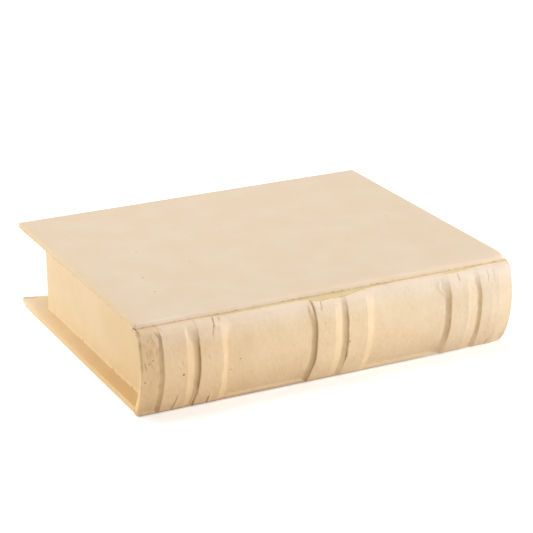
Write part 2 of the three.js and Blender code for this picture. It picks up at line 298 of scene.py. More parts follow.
@dataclass(frozen=True)
class PaperFinish:
    """Bare kraft papier-mache: mottled, fibrous, with a few dark specks of pulp.

    Three attributes of the mesh can change it from place to place: one pales it, for wear and for painted
    highlights, one turns it ochre, mostly as painted shade, and one darkens it, for stains and for painted shade.
    """

    name: str
    slot: Slot
    pale: Colour
    deep: Colour
    fibre: Colour
    speck: Colour = (112, 84, 58)
    # Colours of wear and painted highlights, of ochre and painted ochre shade, and of stains and painted shade.
    scuffed: Colour = (240, 228, 208)
    ochre_tone: Colour = (204, 156, 76)
    stain_and_shade_tone: Colour = (120, 88, 62)
    roughness: float = 0.88
    mottle_size: float = 0.022
    fibre_share: float = 0.35
    fibre_scale: float = 420
    patch_scale: float = 190
    speck_share: float = 0.10
    speck_scale: float = 210
    grain_size: float = 0.0009
    grain_depth: float = 0.00010
    wrinkle_size: float = 0.0030
    wrinkle_depth: float = 0.00010
    painted_shading: tuple[PaintedShading, ...] = ()
    fray_height: float = 0.0
    fray_reach: float = 0.0
    fray_dash: float = 0.0028
    fray_start: Place = (0.00002, 0.00012)
    spots: tuple[Spot, ...] = ()

    def material(self) -> bpy.types.Material:
        """Builds the node material and returns it."""
        recipe = Recipe(self.name)
        place = recipe.place()
        clouds = recipe.noise(place, self.mottle_size, 3)
        flecks = recipe.noise(place, self.mottle_size / 7, 2)
        tone = recipe.paint(linear(self.deep), recipe.band(clouds, 0.30, 0.72), self.pale)
        tone = recipe.paint(tone, recipe.band(flecks, 0.42, 0.75, 0.35), self.pale)
        # Painted light and shade, from one place of the piece to another.
        for shading in self.painted_shading:
            tone = shading.over(recipe, place, tone)
        fibres = self._fibres(recipe, place)
        tone = recipe.paint(tone, recipe.times(fibres, self.fibre_share), self.fibre)
        dark, pale = self._specks(recipe, place)
        tone = recipe.paint(tone, recipe.times(dark, 0.75), self.speck)
        tone = recipe.paint(tone, recipe.times(pale, 0.45), self.scuffed)
        # These marks carry painted light and shade as well as wear, ochre and stains.
        for name, colour in (("wear", self.scuffed), ("paste", self.ochre_tone), ("stain", self.stain_and_shade_tone)):
            mark = recipe.add("Attribute", attribute_name=name).outputs["Fac"]
            tone = recipe.paint(tone, mark, colour)
        tone = self._fray(recipe, place, tone) if self.fray_reach else tone
        for spot in self.spots:
            tone = recipe.paint(tone, spot.share(recipe, place), self.speck)
        sockets = {"Base Color": tone, "Specular IOR Level": 0.25}
        sockets["Roughness"] = recipe.math("MULTIPLY_ADD", flecks, 0.12, self.roughness - 0.06)
        sockets["Normal"] = self._relief(recipe, place, flecks, fibres)
        return recipe.finish(recipe.add("BsdfPrincipled", sockets).outputs[0])

    def _relief(self, recipe: Recipe, place: Socket, flecks: Socket, fibres: Socket) -> Socket:
        """Raises the flecks, the fibres and a fine grain over wider wrinkles.

        Args:
            recipe: the material that is being built.
            place: the place on the piece.
            flecks: the height of the flecks.
            fibres: the height of the fibres.

        Returns:
            The normal of the paper's face.
        """
        height = recipe.times(recipe.noise(place, self.grain_size, 3), 0.6)
        height = recipe.math("MULTIPLY_ADD", flecks, 0.5, height)
        height = recipe.math("MULTIPLY_ADD", fibres, 0.25, height)
        wrinkles = recipe.noise(place, self.wrinkle_size, 3)
        sockets = {"Strength": 0.8, "Distance": self.wrinkle_depth, "Height": wrinkles}
        folds = recipe.add("Bump", sockets).outputs[0]
        sockets = {"Strength": 0.5, "Distance": self.grain_depth, "Height": height, "Normal": folds}
        return recipe.add("Bump", sockets).outputs[0]

    def _fray(self, recipe: Recipe, place: Socket, tone: Socket) -> Socket:
        """Frays the paper along a lower edge, here pale and there dark, and returns the new tone."""
        height = recipe.axis(place, "Z")
        edge, reach = self.fray_height, self.fray_reach
        above = recipe.band(height, *(edge + rise for rise in self.fray_start))
        near = recipe.times(above, recipe.band(height, edge + reach, edge + reach / 2))
        dashes = recipe.noise(place, self.fray_dash, 2)
        for low, high, colour in ((0.50, 0.60, self.scuffed), (0.45, 0.35, self.stain_and_shade_tone)):
            dash = recipe.times(near, recipe.band(dashes, low, high))
            tone = recipe.paint(tone, recipe.times(dash, 0.6), colour)
        return tone

    def _fibres(self, recipe: Recipe, place: Socket) -> Socket:
        """Adds short curling hairs of pulp, and returns where they are."""
        sockets = {"Vector": place, "Scale": self.fibre_scale, "Detail": 1, "Distortion": 1.8}
        swirls = recipe.add("TexNoise", sockets).outputs["Fac"]
        off_line = recipe.math("ABSOLUTE", recipe.math("SUBTRACT", swirls, 0.5))
        sockets = {"Vector": place, "Scale": self.patch_scale, "Detail": 1}
        patch = recipe.add("TexNoise", sockets).outputs["Fac"]
        return recipe.times(recipe.rest(recipe.band(off_line, 0.004, 0.018)), recipe.band(patch, 0.54, 0.66))

    def _specks(self, recipe: Recipe, place: Socket) -> list[Socket]:
        """Adds small specks at random places, and returns where the dark and the pale ones are."""
        cells = recipe.add("TexVoronoi", {"Vector": place, "Scale": self.speck_scale})
        chance = recipe.add("SeparateColor", {0: cells.outputs["Color"]}).outputs[0]
        dot = recipe.rest(recipe.band(cells.outputs["Distance"], 0.05, 0.12))
        dark = recipe.math("LESS_THAN", chance, self.speck_share)
        pale = recipe.math("GREATER_THAN", chance, 1 - 2 * self.speck_share)
        return [recipe.times(dot, chosen) for chosen in (dark, pale)]


@dataclass(frozen=True)
class BoardFinish:
    """Greyboard: pressed grey-brown pulp with coarse flecks."""

    name: str = "greyboard"
    slot: Slot = Slot.BOARD
    pale: Colour = (196, 180, 152)
    deep: Colour = (164, 146, 118)
    pulp_scale: float = 700
    pulp_depth: float = 0.0002

    def material(self) -> bpy.types.Material:
        """Builds the node material and returns it."""
        recipe = Recipe(self.name)
        sockets = {"Vector": recipe.place(), "Scale": self.pulp_scale, "Detail": 4}
        pulp = recipe.add("TexNoise", sockets).outputs["Fac"]
        tone = recipe.paint(linear(self.deep), recipe.band(pulp, 0.35, 0.65), self.pale)
        sockets = {"Strength": 0.6, "Distance": self.pulp_depth, "Height": pulp}
        bump = recipe.add("Bump", sockets).outputs[0]
        sockets = {"Base Color": tone, "Roughness": 0.95, "Normal": bump}
        return recipe.finish(recipe.add("BsdfPrincipled", sockets).outputs[0])


LID_PAPER = PaperFinish(
    "kraft_lid", Slot.LID, (226, 206, 182), (223, 202, 176), (212, 186, 154), speck_share=0.012,
    fibre_share=0.10, wrinkle_size=0.006, wrinkle_depth=0.00003, stain_and_shade_tone=(150, 108, 62),
    fray_height=0.0564, fray_reach=0.0011,
    # Painted shade: warmer and a little darker towards the lid's tail edge.
    painted_shading=(
        PaintedShading("X", -0.1200, -0.1295, (224, 200, 164), 0.40),
        PaintedShading("X", -0.1290, -0.1300, (226, 200, 159), 0.75),
    ),
    spots=(Spot((-0.0953, -0.0282, 0.0602)), Spot((-0.0982, -0.0541, 0.0602))),
)
SPINE_PAPER = PaperFinish(
    "kraft_spine", Slot.SPINE, (230, 207, 172), (222, 196, 158), (198, 162, 120), speck_share=0.045,
    wrinkle_depth=0.00045, grain_depth=0.00028, scuffed=(255, 222, 168), stain_and_shade_tone=(134, 90, 52),
    speck=(106, 74, 40),
    # Painted shade: deeper towards the tail end and darker at its very end, greyer towards the head end, and
    # darker towards the foot; painted light: paler towards the top.
    painted_shading=(
        PaintedShading("X", 0.02, -0.13, (218, 180, 134), 0.42),
        PaintedShading("X", -0.116, -0.121, (190, 148, 100), 0.15),
        PaintedShading("X", 0.0, 0.13, (210, 196, 180), 0.42),
        PaintedShading("Z", 0.040, 0.012, (214, 172, 122), 0.18),
        PaintedShading("Z", 0.040, 0.056, (240, 228, 220), 0.36),
    ),
)
TRAY_PAPER = PaperFinish(
    "kraft_tray", Slot.TRAY, (236, 211, 172), (232, 205, 164), (216, 182, 136), speck_share=0.006,
    fibre_share=0.12, wrinkle_size=0.005, wrinkle_depth=0.00005, scuffed=(250, 224, 178),
    stain_and_shade_tone=(150, 104, 58),
    # Painted shade: the walls grow warmer and darker towards the spine side.
    painted_shading=(
        PaintedShading("Y", 0.02, -0.09, (232, 194, 134), 0.35),
    ),
)
BASE_PAPER = PaperFinish(
    "kraft_base", Slot.BASE, (250, 229, 197), (246, 221, 184), (210, 172, 122), speck_share=0.02,
    fibre_share=0.2, scuffed=(252, 228, 184), stain_and_shade_tone=(140, 96, 54),
    # Painted shade: ochre towards the spine side, and darker on the tail edge face.
    painted_shading=(
        PaintedShading("Y", 0.10, -0.06, (216, 169, 86), 0.60),
        PaintedShading("X", -0.1288, -0.1300, (222, 180, 116), 0.40),
    ),
)
HINGE_PAPER = PaperFinish(
    "kraft_hinge", Slot.HINGE, (226, 206, 166), (210, 188, 144), (180, 150, 108), speck_share=0.08,
)
LINING_PAPER = PaperFinish(
    "kraft_lining", Slot.LINING, (232, 210, 176), (226, 200, 164), (204, 174, 132), speck_share=0.02,
)
GREYBOARD = BoardFinish()


class Workpiece:
    """One mesh on the bench, shaped with Blender's own modelling operators."""

    def __init__(self, obj: bpy.types.Object, name: str) -> None:
        """Takes the primitive that was just added and names it."""
        self.obj = obj
        self.obj.name = name
        self.obj.data.name = name

    @classmethod
    def block(cls, name: str, low: Vector, high: Vector) -> Workpiece:
        """Starts a piece as a block between its lowest and its highest corner."""
        bpy.ops.mesh.primitive_cube_add(size=1, location=(low + high) / 2)
        bpy.context.object.scale = high - low
        bpy.ops.object.transform_apply(location=True, rotation=True, scale=True)
        return cls(bpy.context.object, name)

    @classmethod
    def sheet(cls, name: str, columns: Array, rows: Array) -> tuple[Workpiece, Array, Array]:
        """Starts a piece as a flat grid of cells.

        Args:
            name: the piece's name.
            columns: a place for each column of vertices.
            rows: a place for each row of vertices.

        Returns:
            The piece, and the places of each vertex's column and row.
        """
        across, along = len(columns) - 1, len(rows) - 1
        bpy.ops.mesh.primitive_grid_add(x_subdivisions=across, y_subdivisions=along, size=1)
        work = cls(bpy.context.object, name)
        spots = np.rint((work.points()[:, :2] + 0.5) * (across, along)).astype(int)
        return work, columns[spots[:, 0]], rows[spots[:, 1]]

    def _select(self) -> None:
        """Makes this piece the active one and the only one that is selected."""
        bpy.ops.object.select_all(action="DESELECT")
        self.obj.select_set(True)
        bpy.context.view_layer.objects.active = self.obj

    @contextmanager
    def _editing(self, mode: str, chosen: Callable | None = None) -> Iterator[None]:
        """Opens the mesh for editing with parts of it selected.

        Args:
            mode: FACE or EDGE.
            chosen: a test of a face's middle and normal, or of an edge's two ends; all of
                the mesh where it is None.
        """
        mesh = self.obj.data
        bpy.context.view_layer.objects.active = self.obj
        bpy.ops.object.mode_set(mode="EDIT")
        bpy.ops.mesh.select_mode(type=mode)
        bpy.ops.mesh.select_all(action="SELECT" if chosen is None else "DESELECT")
        if chosen is not None:
            bpy.ops.object.mode_set(mode="OBJECT")
            for face in mesh.polygons if mode == "FACE" else ():
                face.select = chosen(face.center, face.normal)
            for edge in mesh.edges if mode == "EDGE" else ():
                edge.select = chosen(*(mesh.vertices[i].co for i in edge.vertices))
            bpy.ops.object.mode_set(mode="EDIT")
        yield
        bpy.ops.object.mode_set(mode="OBJECT")

    def bevel(self, width: float, segments: int, chosen: Callable | None = None) -> Workpiece:
        """Rounds the chosen edges, or all of them, with that many facets, and returns the piece."""
        with self._editing("EDGE", chosen):
            bpy.ops.mesh.bevel(offset=width, segments=segments, affect="EDGES")
        return self

    def cut(self, axis: str, places: Iterable[float]) -> Workpiece:
        """Cuts the mesh across at places on the x, y or z axis, and returns the piece."""
        normal = np.array([float(name == axis) for name in "xyz"])
        with self._editing("FACE"):
            for place in places:
                bpy.ops.mesh.select_all(action="SELECT")
                bpy.ops.mesh.bisect(plane_co=normal * place, plane_no=normal)
        return self

    def cut_evenly(self, step: float, axes: str = "xyz") -> Workpiece:
        """Cuts the piece into cells of about that size along the named axes, and returns it."""
        corners = np.array([corner[:] for corner in self.obj.bound_box])
        for axis in axes:
            places = corners[:, "xyz".index(axis)]
            cells = max(2, round((places.max() - places.min()) / step))
            self.cut(axis, np.linspace(places.min(), places.max(), cells + 1)[1:-1])
        return self

    def delete(self, chosen: Callable) -> Workpiece:
        """Deletes the chosen faces and returns the piece."""
        with self._editing("FACE", chosen):
            bpy.ops.mesh.delete(type="FACE")
        return self

    def sink(self, border: float, depth: float, chosen: Callable) -> Workpiece:
        """Sinks the chosen faces by a depth, all but a border, and returns the piece."""
        with self._editing("FACE", chosen):
            bpy.ops.mesh.inset(thickness=border)
            bpy.ops.mesh.extrude_region_move(TRANSFORM_OT_translate={"value": (0, 0, -depth)})
        return self

    def draw_out(self, offset: Triple, chosen: Callable) -> Workpiece:
        """Extrudes the chosen edges by an offset and returns the piece."""
        with self._editing("EDGE", chosen):
            bpy.ops.mesh.extrude_region_move(TRANSFORM_OT_translate={"value": offset})
        return self

    def points(self) -> Array:
        """The places of the vertices, one in a row."""
        flat = np.empty(len(self.obj.data.vertices) * 3)
        self.obj.data.vertices.foreach_get("co", flat)
        return flat.reshape(-1, 3)

    def move(self, points: Array) -> Workpiece:
        """Puts the vertices at new places and returns the piece."""
        self.obj.data.vertices.foreach_set("co", points.ravel())
        self.obj.data.update()
        return self

    def mark(self, name: str, values: Array) -> Workpiece:
        """Gives each vertex a number that the finish can read, and returns the piece."""
        attribute = self.obj.data.attributes.new(name, "FLOAT", "POINT")
        attribute.data.foreach_set("value", np.clip(values, 0, 1).astype(np.float32))
        return self

    def thicken(self, thickness: float) -> Workpiece:
        """Gives a sheet its thickness, inwards from its face, and returns the piece."""
        solid = self.obj.modifiers.new("thickness", "SOLIDIFY")
        solid.thickness = thickness
        solid.offset = -1
        solid.use_even_offset = True
        self._select()
        bpy.ops.object.modifier_apply(modifier=solid.name)
        return self

    def join(self, other: Workpiece) -> Workpiece:
        """Makes another piece part of this one and returns this one."""
        self._select()
        other.obj.select_set(True)
        bpy.ops.object.join()
        return self

    def dress(self, finish: PaperFinish | BoardFinish, angle: float = 50) -> bpy.types.Object:
        """Smooths the piece and gives it its finish.

        Args:
            finish: what it is made of.
            angle: the sharpest bend, in degrees, that still looks smooth.

        Returns:
            The finished object.
        """
        self._select()
        bpy.ops.object.shade_smooth_by_angle(angle=math.radians(angle))
        self.obj.data.materials.clear()
        self.obj.data.materials.append(Wardrobe.of(finish))
        return self.obj


class Wardrobe:
    """Keeps one material for each finish."""

    _made: dict[str, bpy.types.Material] = {}

    @classmethod
    def of(cls, finish: PaperFinish | BoardFinish) -> bpy.types.Material:
        """The material of a finish, built when it is first asked for."""
        if finish.name not in cls._made:
            cls._made[finish.name] = finish.material()
        return cls._made[finish.name]


def seat(obj: bpy.types.Object, body: Body, *nodes: str) -> None:
    """Lets a finished piece ride on a body and stand for its nodes of the frame."""
    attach(obj, body.value)
    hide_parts(*nodes)
    LOG.info("%s: %d faces on %s, for %s", obj.name, len(obj.data.polygons), body.value, ", ".join(nodes))


@dataclass
class SpineProfile:
    """The outer face of the spine board as seen from its end.

    It is an arc from the foot to the shoulder, a small shoulder arc, and a straight run up
    to the fold of the hinge. Depths are measured from the fold, heights from the table.
    """

    fold_y: float
    fold_z: float
    foot_depth: float = 0.0032
    foot_height: float = 0.0005
    crown_depth: float = -0.0078
    shoulder_depth: float = -0.00385
    shoulder_radius: float = 0.0024
    slope: float = math.radians(17)
    half_fold: float = 0.00015
    under_leaf: float = 0.0006
    board: float = 0.0018
    along: Array = field(init=False)
    outward: Array = field(init=False)
    centre: Array = field(init=False)
    radius: float = field(init=False)
    shoulder: Array = field(init=False)
    arc_start: float = field(init=False)
    arc_end: float = field(init=False)
    arc_length: float = field(init=False)
    shoulder_length: float = field(init=False)
    run_length: float = field(init=False)

    def __post_init__(self) -> None:
        """Works the arcs out from the places that they pass through."""
        top = np.array([-self.half_fold, self.fold_z - self.under_leaf])
        drop = (top[0] - self.shoulder_depth) * math.tan(self.slope)
        foot = (self.foot_depth - self.crown_depth, self.foot_height)
        edge = (self.shoulder_depth - self.crown_depth, top[1] - drop)
        height = self._centre_height(foot, edge)
        self.radius = (foot[0] ** 2 + (height - foot[1]) ** 2) / (2 * foot[0])
        self.centre = np.array([self.crown_depth + self.radius, height])
        self.along = np.array([math.cos(self.slope), math.sin(self.slope)])
        self.outward = np.array([-self.along[1], self.along[0]])
        inner = top - self.shoulder_radius * self.outward
        to_inner = inner - self.centre
        reach = self.radius - self.shoulder_radius
        middle = float(to_inner @ self.along)
        self.run_length = middle + math.sqrt(middle**2 - to_inner @ to_inner + reach**2)
        self.shoulder = inner - self.run_length * self.along
        away = self.shoulder - self.centre
        self.arc_start = math.asin((self.foot_height - height) / self.radius)
        self.arc_end = math.atan2(away[1], -away[0])
        self.arc_length = self.radius * (self.arc_end - self.arc_start)
        self.shoulder_length = self.shoulder_radius * (math.pi / 2 - self.slope - self.arc_end)

    @staticmethod
    def _centre_height(foot: Place, edge: Place) -> float:
        """The height of the arc's centre, from two points on it by their depth behind its crown."""
        a = 1 / foot[0] - 1 / edge[0]
        b = 2 * (edge[1] / edge[0] - foot[1] / foot[0])
        c = foot[1] ** 2 / foot[0] - edge[1] ** 2 / edge[0] + foot[0] - edge[0]
        return -2 * c / (b + math.sqrt(b * b - 4 * a * c))

    @property
    def length(self) -> float:
        """How long the face is, from its foot to the fold."""
        return self.arc_length + self.shoulder_length + self.run_length

    def foot(self, proud: Array, clearance: Array) -> Array:
        """How far up the face something that stands proud of it keeps that height above the table."""
        angle = np.arcsin((clearance - self.centre[1]) / (self.radius + proud))
        return self.radius * (angle - self.arc_start)

    def place(self, up: Array, proud: Array) -> tuple[Array, Array]:
        """Finds points near the face.

        Args:
            up: how far each is from the foot, along the face.
            proud: how far each stands out from the face.

        Returns:
            Their y and their z.
        """
        round_end = self.arc_length + self.shoulder_length
        angle = self.arc_start + up / self.radius
        turned = self.arc_end + (up - self.arc_length) / self.shoulder_radius
        start = self.shoulder + self.shoulder_radius * self.outward
        found = []
        for i, wave, sign in ((0, np.cos, -1), (1, np.sin, 1)):
            on_arc = self.centre[i] + sign * (self.radius + proud) * wave(angle)
            on_shoulder = self.shoulder[i] + sign * (self.shoulder_radius + proud) * wave(turned)
            on_run = start[i] + (up - round_end) * self.along[i] + proud * self.outward[i]
            upper = np.where(up <= round_end, on_shoulder, on_run)
            found.append(np.where(up <= self.arc_length, on_arc, upper))
        return found[0] + self.fold_y, found[1]


@dataclass(frozen=True)
class Slope:
    """How the paper comes down from one side of a raised band.

    Each triple gives a value for the middle of the spine, for its top and for its foot. A
    side is -1 where the paper comes down towards the tail, and 1 towards the head.
    """

    edge: Triple
    width: Triple
    hollow: Triple
    spread: Triple = (0.0, 0.0, 0.0)
    # The slope's share of painted ochre shade, and of painted shade in the crease under its edge.
    paste: float = 0.05
    line: float = 0.0
    run_out: float = 0.0100
    ochre_start: Place = (-0.0005, 0.0004)
    line_off: float = 0.0004
    line_width: float = 0.0006

    def _off(self, x: Array, share: Array, side: int) -> Array:
        """How far each place is beyond the band's edge."""
        return side * (x - self._at(self.edge, share))

    def left(self, x: Array, share: Array, side: int) -> Array:
        """How much of the band's height the paper still has, at x and at a share of the way up."""
        off = self._off(x, share, side)
        steep = np.clip(1 - off / self._at(self.width, share), 0, 1) ** self._at(self.hollow, share)
        gentle = np.clip(1 - off / self.run_out, 0, 1) ** 1.3
        spread = self._at(self.spread, share)
        return (1 - spread) * steep + spread * gentle

    def ochre_shade(self, x: Array, share: Array, side: int) -> Array:
        """How much painted ochre shade the slope gets at each place."""
        off = self._off(x, share, side)
        down = np.clip(1 - off / self._at(self.width, share), 0, 1)
        inside = smooth(off, *self.ochre_start) * down ** 0.8
        return self.paste * inside * (1 - self._at(self.spread, share))

    def crease_shade(self, x: Array, share: Array, side: int) -> Array:
        """How much painted shade darkens the crease right under the band's edge at each place."""
        off = self._off(x, share, side)
        near = np.exp(-(((off - self.line_off) / self.line_width) ** 2))
        return self.line * near * (1 - self._at(self.spread, share))

    @staticmethod
    def _at(values: Triple, share: Array) -> Array:
        """The value at some way up the spine."""
        middle, top, foot = values
        upper = smooth(share, 0.70, 0.90)
        lower = smooth(1 - share, 0.66, 0.90)
        return middle + (top - middle) * upper + (foot - middle) * lower


@dataclass(frozen=True)
class Band:
    """The paper over one raised band: a level top between two slopes."""

    tail: Slope
    head: Slope
    height: float = 0.0018

    def lift(self, x: Array, share: Array) -> Array:
        """How far the paper is lifted at each place along and up the spine."""
        return self.height * np.minimum(self.tail.left(x, share, -1), self.head.left(x, share, 1))

    def ochre_shade(self, x: Array, share: Array) -> Array:
        """How much painted ochre shade the slopes get at each place."""
        return np.maximum(self.tail.ochre_shade(x, share, -1), self.head.ochre_shade(x, share, 1))


@dataclass(frozen=True)
class Crease:
    """A crack or a ridge in the spine's paper, between two places along and up the spine."""

    start: Place
    end: Place
    width: float
    depth: float
    # dark is painted shade in the crack, and pale a painted highlight on the ridge.
    dark: float = 0.0
    pale: float = 0.0

    def _closeness(self, x: Array, up: Array, width: float) -> Array:
        """1 on the line, falling to 0 beside it and beyond its ends."""
        along = np.subtract(self.end, self.start)
        length = float(np.hypot(*along))
        across_x = x - self.start[0]
        across_up = up - self.start[1]
        share = np.clip((across_x * along[0] + across_up * along[1]) / length**2, 0, 1)
        off = np.hypot(across_x - share * along[0], across_up - share * along[1])
        return np.exp(-((off / width) ** 2)) * (1 - 0.6 * (2 * share - 1) ** 4)

    def lift(self, x: Array, up: Array) -> Array:
        """How far it raises the paper at each place, or lowers it where negative."""
        return self.depth * self._closeness(x, up, self.width)

    def shade(self, x: Array, up: Array) -> Array:
        """How much painted shade darkens the paper in the crack at each place."""
        return self.dark * self._closeness(x, up, self.width * 0.7)

    def bleach(self, x: Array, up: Array) -> Array:
        """How much painted highlight lightens the ridge at each place."""
        return self.pale * self._closeness(x, up, self.width * 0.8)


@dataclass(frozen=True)
class Fleck:
    """A dark fleck of pulp in the spine's paper."""

    at: Place
    radius: float
    dark: float


@dataclass
class Spine:
    """The skin of paper over the spine board and its six bands."""

    profile: SpineProfile
    tail: float
    head: float
    plain_step: float = 0.0012
    fine_step: float = 0.00036
    fine_reach: Place = (0.0008, 0.0050)
    tail_reach: float = 0.0090
    crease_step: float = 0.00026
    crease_reach: float = 0.0007
    end_reach: float = 0.0014
    bend_step: float = 0.00016
    row_step: float = 0.00095
    end_row_step: float = 0.00045
    top_rows_reach: float = 0.008
    foot_rows_reach: float = 0.002
    inner_reach: float = 0.016
    hinge_cover: float = 0.009
    hinge_step: float = 0.003
    torn_reveal: float = 0.0005
    ragged: tuple[Swell, ...] = (Swell(0.00030, 0.0045, 3), Swell(0.00025, 0.0013, 8))
    tears: tuple[tuple[float, Stretch], ...] = (
        (0.0026, (0.1120, 0.1190, 0.1360, 0.1620)),
        (0.0022, (0.2100, 0.2150, 0.2230, 0.2340)),
        (0.0010, (0.0380, 0.0600, 0.1400, 0.1900)),
    )
    climb: float = 0.0012
    climb_reach: Place = (0.0620, 0.0300)
    foot_gap: float = 0.00015
    foot_wave: Swell = Swell(0.6, 0.012, 21)
    rim_lift: float = 0.0019
    rim_reach: Place = (0.0040, 0.0002)
    rim_wear: float = 0.7
    rim_wear_reach: Place = (0.012, 0.002)
    end_lift: float = 0.0007
    end_strip: Stretch = (0.0, 0.012, 0.016, 0.020)
    waver: tuple[Swell, ...] = (Swell(0.00030, 0.0075, 41), Swell(0.00016, 0.0026, 47))
    uneven: tuple[Swell, ...] = (Swell(0.00010, 0.016, 5), Swell(0.00005, 0.004, 11))
    even_ends: float = 0.004
    pressed_reach: Place = (0.0062, 0.0044)
    run_out: Place = (0.0022, 0.0035)
    patchy: Swell = Swell(1.0, 0.0022, 43)
    # Ochre patches at the tail end, stronger towards the top.
    tail_ochre: tuple[Patch, ...] = (
        Patch(0.05, (0.014, 0.008)),
        Patch(0.18, (0.014, 0.008), (0.036, 0.048)),
        Patch(0.10, (0.090, 0.030), (0.042, 0.054)),
    )
    # Painted shade in patches on the panel left of the first band, by the tail end.
    tail_panel_shade: Patch = Patch(0.13, (0.015, 0.011), (0.014, 0.028))
    # Painted contact shade along the paper's foot: less of it towards the head end, waving along the spine, within
    # a little of the foot.
    foot_shade: float = 0.28
    less_foot_shade: Patch = Patch(0.20, (0.110, 0.150))
    foot_shade_wave: Swell = Swell(0.16, 0.018, 17)
    foot_shade_start: Place = (0.004, 0.014)
    foot_shade_reach: Place = (0.0015, 0.0004)
    corner_reach: Place = (0.0050, 0.0012)
    upper_half: Place = (0.024, 0.044)
    end_line: Stretch = (-0.0009, -0.0005, -0.0002, 0.0003)
    # Painted light on the fold round the board's end, more of it low down.
    lit_end_fold: Stretch = (-0.0002, 0.0005, 0.0030, 0.0040)
    ledge_depth: float = 0.0060
    tab_front: float = 0.0030
    tab_swell: float = 0.00022
    tab_crumple: Swell = Swell(0.00022, 0.0016, 31)
    tab_hang: Swell = Swell(0.0002, 0.0022, 37)
    tab_round: float = 0.00012
    tab_cell: float = 0.0006
    tab_torn: float = 0.0010
    tab_rise: float = 0.0012
    tab_tear: Swell = Swell(1.0, 0.0011, 33)
    tab_specks: Swell = Swell(1.0, 0.0009, 35)
    pale_tear: float = 0.0010
    loose_fold: float = 0.55
    loose_reach: Place = (0.030, 0.008)
    worn_radius: float = 0.0056
    worn_rows: float = 0.008
    # Each tail slope's fifth and sixth numbers give its painted ochre shade and the painted shade in the crease
    # under its edge; head slopes get a little painted ochre shade.
    bands: tuple[Band, ...] = (
        Band(
            Slope((0.0138, 0.0134, 0.0134), (0.0050, 0.0040, 0.0044),
                  (1.3, 1.8, 1.3), (0.10, 0, 0.25), 0.34, 0.14),
            Slope((0.0290, 0.0288, 0.0292), (0.0058, 0.0026, 0.0100), (1.3, 1.5, 1.6)),
        ),
        Band(
            Slope((0.0376, 0.0372, 0.0364), (0.0042, 0.0050, 0.0024),
                  (2.2, 1.6, 1.0), (0.12, 0.70, 0.72), 0.32, 0.50),
            Slope((0.0527, 0.0524, 0.0524), (0.0038, 0.0070, 0.0056), (1.1, 1.1, 1.1)),
        ),
        Band(
            Slope((0.1170, 0.1160, 0.1146), (0.0036, 0.0044, 0.0034),
                  (1.4, 1.3, 1.2), (0, 0.40, 0.35), 0.38, 0.40),
            Slope((0.1298, 0.1296, 0.1292), (0.0070, 0.0110, 0.0120), (1.3, 1.3, 1.3)),
        ),
        Band(
            Slope((0.1390, 0.1386, 0.1382), (0.0052, 0.0050, 0.0040),
                  (1.8, 1.5, 1.0), (0.08, 0.60, 0.96), 0.40, 0.40),
            Slope((0.1524, 0.1520, 0.1518), (0.0050, 0.0070, 0.0050), (1.05, 1.1, 1.1), (0.1, 0.1, 0.1)),
        ),
        Band(
            Slope((0.2135, 0.2130, 0.2128), (0.0036, 0.0060, 0.0050),
                  (1.1, 1.1, 1.0), (0, 0.85, 0.85), 0.44, 0.14),
            Slope((0.2262, 0.2258, 0.2262), (0.0125, 0.0125, 0.0125), (1.0, 1.0, 1.0)),
        ),
        Band(
            Slope((0.2362, 0.2356, 0.2366), (0.0044, 0.0044, 0.0056),
                  (1.2, 1.0, 1.0), (0, 0.85, 0.88), 0.46, 0.12),
            Slope((0.2496, 0.2496, 0.2500), (0.0100, 0.0100, 0.0070), (1.0, 1.0, 1.0)),
        ),
    )
